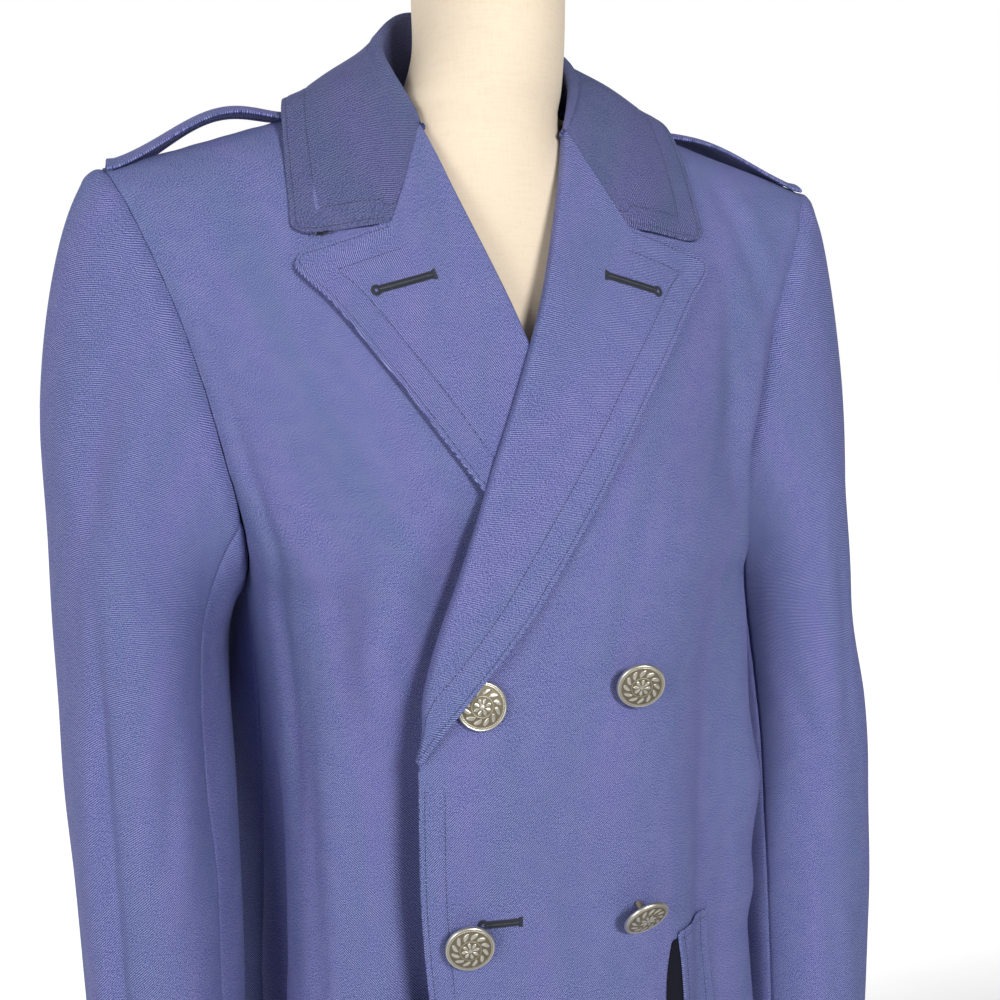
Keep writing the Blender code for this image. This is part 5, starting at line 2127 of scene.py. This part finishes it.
@dataclass
class PocketWelts:
    """Slanting welts of the hip pockets, stitched down at both ends."""

    top_left: float = 0.963
    top_right: float = 0.936
    length: float = 0.165
    top_x: float = 0.083
    low_x: float = 0.098
    width: float = 0.034
    lay: float = 0.0003
    gape: float = 0.0008
    # width of the painted shadow sheet beside each welt
    mouth: float = 0.0105
    stitch_edge: float = 0.0050
    rows: int = 90
    columns: int = 26
    pieces: dict = field(default_factory=dict)

    def grid(self, side: Side) -> Array:
        """Outer points of a welt.

        Args:
            side: The wearer's left or right.

        Returns:
            Points in rows and columns.
        """
        top = self.top_left if side is Side.LEFT else self.top_right
        along = steps(self.rows)[:, None]
        share = steps(self.columns)[None, :]
        z = top - self.length * (1.0 - along) + 0.0 * share
        x = blend(self.low_x, self.top_x, along) + self.width * share
        out = COAT.wall + self.lay + self.gape * np.sin(math.pi * along) * (1.0 - share)
        return COAT.front_point(side, x, z, out)

    def build(self, cloth: Material) -> None:
        """Make both welts.

        Args:
            cloth: Finish of the cloth.
        """
        for side in Side:
            piece = ClothPiece(f"pocket_welt_{side.word}", self.grid(side), side.value, wall=0.0016)
            for edge in ("first", "last", "top", "low"):
                piece.groove(piece.away(edge), self.stitch_edge, 0.00040, 0.0010)
            piece.dress(cloth, [f"front_{side.word}"], "navy_gabardine")
            self.pieces[side] = piece

    def line_mouths(self, shadow_cloth: Material) -> None:
        """Lay a flat near-black sheet on the front beside each welt: painted shadow, standing in for the
        dark gap of the open mouth.

        Args:
            shadow_cloth: Finish of the painted shadow sheet.
        """
        for side in Side:
            top = self.top_left if side is Side.LEFT else self.top_right
            down = steps(self.rows)[::-1][:, None]
            share = steps(8)[None, :]
            z = top - 0.004 - (self.length - 0.008) * down + 0.0 * share
            right = blend(self.top_x, self.low_x, down) + 0.004 * np.sin(math.pi * down)
            left = right - 0.004 - (self.mouth + 0.004) * np.sin(math.pi * down ** 0.75)
            # a flat sheet on the front's face: painted shadow of the pocket mouth
            points = COAT.front_point(side, blend(left, right, share), z, 0.0008 + 0.0 * z)
            name = f"pocket_lining_{side.word}"
            ClothPiece(name, points, side.value, wall=0.0006).build(shadow_cloth, name)

    def sew(self, stitching: Stitching) -> None:
        """Topstitch each welt all round.

        Args:
            stitching: Takes the stitches.
        """
        for piece in self.pieces.values():
            rows = np.arange(len(piece.outer), dtype=float)
            columns = np.arange(piece.outer.shape[1], dtype=float)
            across = self.stitch_edge / self.width * self.columns
            down = self.stitch_edge / self.length * self.rows
            for j in (across, self.columns - across):
                stitching.sew(piece, rows, np.full_like(rows, j))
            for i in (down, self.rows - down):
                stitching.sew(piece, np.full_like(columns, i), columns)


# ---- buttonholes, frays


@dataclass
class Buttonhole:
    """A hand-worked hole: close stitches along both lips, an eyelet and a bar."""

    piece: ClothPiece
    bar: tuple
    eye: tuple
    first: int = 0
    lip: float = 0.0025
    eyelet: float = 0.0036
    pitch: float = 0.00052
    radius: float = 0.00030
    bar_radius: float = 0.00036
    slit: float = 0.00030           # from the middle to a stitch's inner end
    crown: float = 0.00030          # lift of that end
    foot: float = 0.00005           # lift of the outer end
    purl_lift: float = 0.00055

    def cloth_point(self, x: Array, z: Array, lift: float) -> tuple[Array, Array]:
        """Points on the cloth by x and z."""
        return self.piece.point(*self.piece.locate(x, z, self.first), lift)

    def work(self, thread: Stitching, gimp: Stitching) -> None:
        """Sew the hole.

        Args:
            thread: Takes the stitches.
            gimp: Takes the cord that lies between the lips.
        """
        bar, eye = np.array(self.bar), np.array(self.eye)
        reach = float(np.linalg.norm(eye - bar))
        way = (eye - bar) / reach
        cross = np.array([-way[1], way[0]])
        places = np.arange(0.0006, reach - self.eyelet, self.pitch)[:, None]
        middle = bar + way * places
        for turn in (-1.0, 1.0):
            swell = 1.0 + 0.10 * np.sin(places * 5200.0)
            near = middle + cross * turn * self.slit
            far = middle + cross * turn * self.lip * swell
            start, _ = self.cloth_point(*near.T, self.crown)
            end, up = self.cloth_point(*far.T, self.foot)
            thread.thread(start, end, up, self.radius)
            purl, up = self.cloth_point(*(middle + cross * turn * 0.00045).T, self.purl_lift)
            half = (purl[1] - purl[0]) * 0.45
            thread.thread(purl - half, purl + half, up, self.radius)
        turns = np.linspace(0.0, math.tau, 33)[:-1, None]
        spokes = way * np.cos(turns) + cross * np.sin(turns)
        start, _ = self.cloth_point(*(eye - way * 0.0010 + spokes * 0.0010).T, self.crown)
        end, up = self.cloth_point(*(eye - way * 0.0010 + spokes * self.eyelet).T, self.foot)
        thread.thread(start, end, up, self.radius)
        offsets = np.linspace(-1.0, 1.0, 13)[:, None] * 0.0031
        start, _ = self.cloth_point(*(bar + cross * offsets - way * 0.0012).T, 0.00045)
        end, up = self.cloth_point(*(bar + cross * offsets * 0.85 + way * 0.0014).T, 0.00045)
        thread.thread(start, end, up, self.bar_radius)
        line = bar + way * np.linspace(0.001, reach - 0.0025, 40)[:, None]
        gimp.run(*self.cloth_point(*line.T, 0.00040))


@dataclass
class FrayedEdge:
    """Short loose fibres where the collar's lower edge has worn through."""

    piece: ClothPiece
    row: float = 0.0
    first_column: float = 62.0
    last_column: float = 84.0
    count: int = 44
    seed: int = 11

    def scatter(self, thread: Stitching) -> None:
        """Add the fibres, each bent twice.

        Args:
            thread: Takes the fibres.
        """
        pick = np.random.default_rng(self.seed)
        middle = 0.5 * (self.first_column + self.last_column)
        j = pick.triangular(self.first_column, middle, self.last_column, self.count)
        point, up = self.piece.point(np.full(self.count, self.row), j, 0.0)
        beyond, _ = self.piece.point(np.full(self.count, self.row + 2.0), j, 0.0)
        out = unit(point - beyond)
        along = unit(np.cross(out, up))
        for _ in range(3):
            lean = pick.normal(0.0, 0.7, (self.count, 1))
            rise = pick.normal(0.1, 0.45, (self.count, 1))
            length = pick.uniform(0.0006, 0.0016, (self.count, 1))
            ahead = point + unit(out + along * lean + up * rise) * length
            thread.thread(point, ahead, up, 0.00013)
            point = ahead


# ---- buttons

BUTTONS = [Button(*row) for row in (
    ("button_1_right", -0.0462, 1.1275, -0.160, -0.985, 0.040, 0.0011),
    ("button_1_left", 0.0500, 1.136, -0.140, -0.930, -0.290, 0.0092),
    ("button_2_right", -0.0555, 0.985, -0.150, -0.970, -0.190, 0.0042),
    ("button_2_left", 0.0500, 0.994, 0.130, -0.820, -0.560, 0.0092),
    ("button_3_right", -0.0520, 0.838, -0.120, -0.970, -0.200, 0.0042),
    ("button_3_left", 0.0520, 0.842, 0.080, -0.950, -0.300, 0.0060),
)]


@dataclass
class CoatButtons:
    """Die-struck shank buttons: a rosette in a wreath of leaves, inside a cord border."""

    radius: float = 0.0150
    shank_radius: float = 0.0022
    lay_gap: float = 0.0005
    leaves: int = 12
    petals: int = 8
    cord_turns: int = 54
    rings: int = 62
    turns: int = 216

    def blades(
        self, q: Array, angle: Array, count: int, size: tuple
    ) -> tuple[Array, Array]:
        """Strike a ring of pointed leaves or petals.

        Args:
            q: Share of the radius.
            angle: Angle, in radians.
            count: How many stand in the ring.
            size: Middle, half length, half angle and bluntness of one.

        Returns:
            Height from 0 to 1, and the angle from the nearest one's middle.
        """
        middle, half, width, blunt = size
        step = math.tau / count
        apart = angle % step - step / 2
        long = (q - middle) / half
        width = width * np.clip(1.0 - long * long, 0.0, 1.0) ** blunt
        height = np.clip(1.0 - (apart / np.maximum(width, 0.01)) ** 2, 0.0, 1.0)
        return height * (np.abs(long) < 1.0), apart

    def relief(self, q: Array, angle: Array) -> Array:
        """Height of the struck pattern, 0 to 1, at a share of the radius and an angle.

        Args:
            q: Share of the radius.
            angle: Angle, in radians.

        Returns:
            The heights.
        """
        rim = bump(q - 0.945, 0.030)
        cord = bump(q - 0.865, 0.030) * (0.55 + 0.45 * np.sin(self.cord_turns * angle + 90.0 * q))
        leaf, apart = self.blades(q, angle + 1.1 * (q - 0.62), self.leaves, (0.625, 0.150, 0.20, 0.8))
        vein = 1.0 - 0.35 * bump(apart * q, 0.012)
        petal, _ = self.blades(q, angle, self.petals, (0.235, 0.125, 0.34, 0.6))
        eye = bump(q, 0.085)
        ring = 0.5 * bump(q - 0.425, 0.014)
        return np.clip(rim + cord + 0.9 * leaf * vein + 0.85 * petal + eye + ring, 0.0, 1.0)

    def surface(self, stand_off: float) -> tuple[Array, Array]:
        """Points from the middle of the face round the rim to the foot, and their relief.

        Args:
            stand_off: Length of the shank.

        Returns:
            Points, and the relief of each.
        """
        q = np.concatenate([[0.012], np.linspace(0.03, 0.98, self.rings)])[:, None]
        angle = (math.tau * np.arange(self.turns) / self.turns)[None, :]
        face = 0.0046 - 0.0019 * q ** 2.4 + 0.0 * angle
        relief = self.relief(q, angle + 0.0 * q)
        face = face + 0.00052 * (relief - 0.35)
        shank = self.shank_radius / self.radius
        under = np.array([
            (0.995, 0.00235, 0.9), (1.0, 0.0019, 0.8), (0.998, 0.0014, 0.6), (0.975, 0.0008, 0.45),
            (0.90, 0.0003, 0.35), (0.82, 0.0, 0.3), (0.40, -0.0002, 0.2), (shank, -0.0003, 0.2),
            (shank, -stand_off, 0.2),
        ])[:, :, None] + 0.0 * angle
        radius = np.concatenate([q + 0.0 * angle, under[:, 0]]) * self.radius
        height = np.concatenate([face, under[:, 1]])
        high = np.concatenate([relief, under[:, 2]])
        turn = np.broadcast_to(angle, radius.shape)
        return np.stack([radius * np.cos(turn), radius * np.sin(turn), height], axis=-1), high

    def build(self, metal: Material) -> None:
        """Make the six buttons on the over front.

        Args:
            metal: Finish of the buttons.
        """
        for number, button in enumerate(BUTTONS):
            points, relief = self.surface(button.stand_off)
            rings, turns = points.shape[:2]
            numbers = np.arange(rings * turns).reshape(rings, turns)
            ahead = np.roll(numbers, -1, axis=1)
            faces = np.stack([numbers[:-1], numbers[1:], ahead[1:], ahead[:-1]], axis=-1).reshape(-1, 4)
            count = rings * turns
            ends = np.array([[0.0, 0.0, points[0, 0, 2]], [0.0, 0.0, points[-1, 0, 2]]])
            caps = np.stack([np.full(turns, count), numbers[0], ahead[0]], axis=-1)
            low = np.stack([np.full(turns, count + 1), ahead[-1], numbers[-1]], axis=-1)
            facing = Vector((button.face_x, button.face_y, button.face_z)).normalized()
            normal = Vector(COAT.normal(Face.FRONT, np.array(button.x), np.array(button.z)))
            foot = self.shank_radius * math.sqrt(max(0.0, 1.0 - facing.dot(normal) ** 2))
            seat = Vector(COAT.front_point(Side.LEFT, button.x, button.z, self.lay_gap + foot))
            turn = facing.to_track_quat("Z", "Y").to_matrix().to_4x4()
            spin = Matrix.Rotation(math.radians(17.0 * number), 4, "Z")
            matrix = np.array(Matrix.Translation(seat + facing * button.stand_off) @ turn @ spin)
            flat = np.concatenate([points.reshape(-1, 3), ends])
            placed = flat @ matrix[:3, :3].T + matrix[:3, 3]
            all_faces = faces.tolist() + caps.tolist() + low.tolist()
            item = mesh_object("struck_" + button.name, placed, all_faces, metal, sharp=75.0)
            values = np.concatenate([relief.ravel(), [1.0, 0.2]])
            layer = item.data.attributes.new("relief", "FLOAT", "POINT")
            layer.data.foreach_set("value", values.astype(np.float32))
            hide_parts(button.name)
            log.info("%s: struck face of %d points", item.name, count)


# ---- dress form and stand

FORM = [Form(*row) for row in (
    (0.800, 0.128, 0.112, 0.104, 2.3),
    (0.900, 0.136, 0.118, 0.110, 2.3),
    (1.020, 0.124, 0.116, 0.092, 2.2),
    (1.120, 0.136, 0.124, 0.098, 2.2),
    (1.200, 0.148, 0.126, 0.106, 2.2),
    (1.290, 0.160, 0.108, 0.108, 2.1),
    (1.360, 0.176, 0.086, 0.102, 1.9),
    (1.410, 0.182, 0.066, 0.088, 1.6, 0.060, 0.030, 0.030, 0.000),
    (1.440, 0.172, 0.054, 0.072, 1.4, 0.060, 0.050, 0.044, 0.000),
    (1.462, 0.158, 0.044, 0.054, 1.2, 0.058, 0.056, 0.046, 0.000),
    (1.4745, 0.149, 0.032, 0.040, 1.1, 0.057, 0.057, 0.045, 0.000),
    (1.481, 0.116, 0.024, 0.030, 1.1, 0.0565, 0.058, 0.044, 0.000),
    (1.487, 0.080, 0.014, 0.018, 1.1, 0.0560, 0.059, 0.043, 0.000),
    (1.493, 0.058, 0.004, 0.005, 1.1, 0.0558, 0.060, 0.042, 0.000),
    (1.505, 0.040, 0.0, 0.0, 1.1, 0.0535, 0.063, 0.040, 0.004),
    (1.530, 0.040, 0.0, 0.0, 1.1, 0.0505, 0.068, 0.038, 0.008),
    (1.565, 0.040, 0.0, 0.0, 1.1, 0.0505, 0.073, 0.034, 0.008),
    (1.600, 0.040, 0.0, 0.0, 1.1, 0.0505, 0.075, 0.033, 0.008),
)]


@dataclass
class DressForm:
    """Limbless linen-covered form, its wooden cap, and the pole and base below."""

    bottom: float = 0.800
    top: float = 1.600
    columns: int = 112
    join_power: float = 5.0

    def point(self, z: Array, turn: Array) -> Array:
        """Points of the form at a height; turn runs once round from the side.

        Args:
            z: Heights.
            turn: Angles, in radians.

        Returns:
            The points.
        """
        row = {name: between_rows(FORM, "z", z, name) for name in Form._fields[1:]}
        half = np.maximum(row["half"], row["neck_half"])
        x = half * np.cos(turn)
        ahead = np.sin(turn) > 0.0
        inside = np.minimum(1.0, np.abs(x) / row["half"])
        body = np.where(ahead, row["front"], row["back"])
        body = body * np.maximum(0.0, 1.0 - inside ** row["power"]) ** (1.0 / row["power"])
        inside = np.minimum(1.0, np.abs(x) / row["neck_half"])
        neck = np.where(ahead, row["neck_front"], row["neck_back"])
        neck = neck * np.sqrt(np.maximum(0.0, 1.0 - inside ** 2))
        depth = (body ** self.join_power + neck ** self.join_power) ** (1.0 / self.join_power)
        return np.stack([x + row["shift"], -np.where(ahead, depth, -depth), z + 0.0 * x], axis=-1)

    def build(self, linen: Material) -> None:
        """Make the covered form, with closer rings from the shoulders to the neck.

        Args:
            linen: Finish of the cover.
        """
        z = spread((self.bottom, 1.36, 60), (1.36, 1.52, 70), (1.52, self.top, 22))[:, None]
        turn = (math.tau * (np.arange(self.columns) + 0.5) / self.columns)[None, :]
        rings = self.point(z + 0.0 * turn, turn + 0.0 * z)
        rows = len(rings)
        count = rows * self.columns
        numbers = np.arange(count).reshape(rows, self.columns)
        ahead = np.roll(numbers, -1, axis=1)
        quads = np.stack([ahead[:-1], numbers[:-1], numbers[1:], ahead[1:]], axis=-1).reshape(-1, 4)
        faces = quads.tolist() + [numbers[0].tolist(), numbers[-1][::-1].tolist()]
        item = mesh_object("linen_form", rings.reshape(-1, 3), faces, linen, sharp=50.0)
        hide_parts("form_torso")
        log.info("linen_form: %d points", count)

    def dress(self, wood: Material, steel: Material) -> None:
        """Give the cap, pole and base their finishes.

        Args:
            wood: Finish of the cap.
            steel: Finish of the pole and base.
        """
        for node, finish in (("form_cap", wood), ("stand_pole", steel), ("stand_base", steel)):
            item = bpy.data.objects[node]
            for slot in item.material_slots:
                slot.material = finish
            log.info("%s: %s", node, finish.name)


# ---- studio


@dataclass
class Studio:
    """Plain pale floor, soft light and the photograph's point of view."""

    place: tuple = (-0.2617857, -0.8476215, 1.337)
    yaw: float = 18.132
    pitch: float = 6.924
    roll: float = -0.48
    lens: float = 45.87
    white: str = "#FFFFFF"
    above: float = 0.28
    ahead: float = 0.16
    floor_half: float = 30.0

    def sky(self) -> None:
        """Surround the part with white low down and behind, and a softer grey above and in front."""
        world = bpy.data.worlds.new("studio")
        world.use_nodes = True
        tree = world.node_tree
        place = add_node(tree, "TexCoord", {}, {})
        split = add_node(tree, "SeparateXYZ", {}, {"Vector": place.outputs["Generated"]})
        high = add_node(
            tree, "MapRange", {"From Min": 0.30, "From Max": 0.70, "To Min": 1.0, "To Max": self.above},
            {"Value": split.outputs["Z"]},
        )
        turned = add_node(
            tree, "Math", {"operation": "MULTIPLY_ADD", 1: -0.75},
            {0: split.outputs["X"], 2: split.outputs["Y"]},
        )
        ahead = add_node(
            tree, "MapRange", {"From Min": -0.40, "From Max": 0.28, "To Min": self.ahead, "To Max": 1.0},
            {"Value": turned},
        )
        both = add_node(tree, "Math", {"operation": "MULTIPLY"}, {0: high, 1: ahead})
        set_node(tree.nodes["Background"], {"Color": linear(self.white)}, {"Strength": both})
        bpy.context.scene.world = world

    def floor(self) -> None:
        """Lay the floor."""
        mesh = bpy.data.meshes.new("studio_floor")
        half = self.floor_half
        corners = [(-half, -half, 0), (half, -half, 0), (half, half, 0), (-half, half, 0)]
        mesh.from_pydata(corners, [], [(0, 1, 2, 3)])
        mesh.materials.append(PaleFloor().material())
        add_object("studio_floor", mesh)

    def light(self, name: str, place: tuple, aim: tuple, size: float, watts: float) -> None:
        """Hang a square soft box.

        Args:
            name: Of the lamp.
            place: Where it hangs.
            aim: Where it points.
            size: Side of the box.
            watts: Its power.
        """
        lamp = bpy.data.lights.new(name, "AREA")
        lamp.shape = "SQUARE"
        lamp.size = size
        lamp.energy = watts
        turn = (Vector(aim) - Vector(place)).to_track_quat("-Z", "Y").to_matrix().to_4x4()
        add_object(name, lamp).matrix_world = Matrix.Translation(place) @ turn

    def camera(self) -> None:
        """Set the camera where the photograph was taken from."""
        lens = bpy.data.cameras.new("camera")
        lens.lens = self.lens
        lens.sensor_width = 36.0
        lens.clip_start = 0.02
        item = add_object("camera", lens)
        stand = Matrix.Translation(self.place)
        for angle, axis in ((-self.yaw, "Z"), (90.0 - self.pitch, "X"), (self.roll, "Z")):
            stand = stand @ Matrix.Rotation(math.radians(angle), 4, axis)
        item.matrix_world = stand
        bpy.context.scene.camera = item

    def build(self) -> None:
        """Set up floor, lights, sky and camera."""
        scene = bpy.context.scene
        scene.view_settings.view_transform = "Standard"
        self.sky()
        self.floor()
        self.light("key", (0.46, -2.25, 2.05), (0.0, 0.0, 1.20), 0.6, 38.5)
        self.light("fill", (-1.9, -1.7, 1.5), (-0.2, 0.0, 1.15), 1.0, 20.0)
        self.camera()


def main() -> None:
    """Build the coat, the form and the studio, in order."""
    gabardine = Gabardine().material()
    # the collar's cloth is a darker copy of the same twill: painted shade, standing in for the shade that
    # falls on the collar
    painted_shade_collar_cloth = Gabardine("navy_gabardine_collar", "#575D88", "#8C92BA", "#282C4B").material()
    body = Body()
    body.build(gabardine)
    sleeves = Sleeves(body)
    sleeves.build(gabardine)
    lapels = Lapels()
    lapels.build(gabardine)
    collar = Collar()
    collar.build(painted_shade_collar_cloth, lapels)
    straps = ShoulderStraps()
    straps.build(gabardine)
    welts = PocketWelts()
    welts.build(gabardine)
    # the same twill in near black, laid flat on the front: painted shadow of each pocket's open mouth
    welts.line_mouths(Gabardine("pocketing_black", "#0C0D18", "#181A2A", "#06070D").material())

    seams = Stitching("topstitching")
    for part in (body, lapels, collar, straps, welts):
        part.sew(seams)
    seams.build(SewingThread("polyester_thread_navy", "#262A4E", "#15182F").material(), "navy_gabardine")

    worked = Stitching("buttonhole_stitches", radius=0.00036)
    gimp = Stitching("buttonhole_gimp", pitch=0.0013, length=0.0012, radius=0.00032)
    for side in Side:
        hole = Buttonhole(
            lapels.pieces[side], (0.055 * side.value, 1.380), (0.092 * side.value, 1.370), first=7,
        )
        hole.work(worked, gimp)
    for button in (BUTTONS[2], BUTTONS[4]):
        bar, eye = ((button.x + ahead, button.z + 0.009) for ahead in (0.030, 0.006))
        Buttonhole(body.pieces[Side.LEFT, Face.FRONT], bar, eye).work(worked, gimp)
    worked.build(SewingThread("buttonhole_twist", "#2E3341", "#1D2130").material(), "navy_gabardine")
    gimp.build(SewingThread("buttonhole_gimp_cord", "#6E7A78", "#4A5452").material(), "navy_gabardine")
    fibres = Stitching("frayed_fibres", sides=4)
    FrayedEdge(collar.piece).scatter(fibres)
    fibres.build(SewingThread("frayed_worsted", "#191D33", "#0E1020").material(), "navy_gabardine_collar")

    CoatButtons().build(AntiquedSilver().material())
    form = DressForm()
    form.build(Linen().material())
    form.dress(Beech().material(), PaintedSteel().material())
    Studio().build()


if __name__ == "__main__":
    logging.basicConfig(level=logging.INFO)
    main()
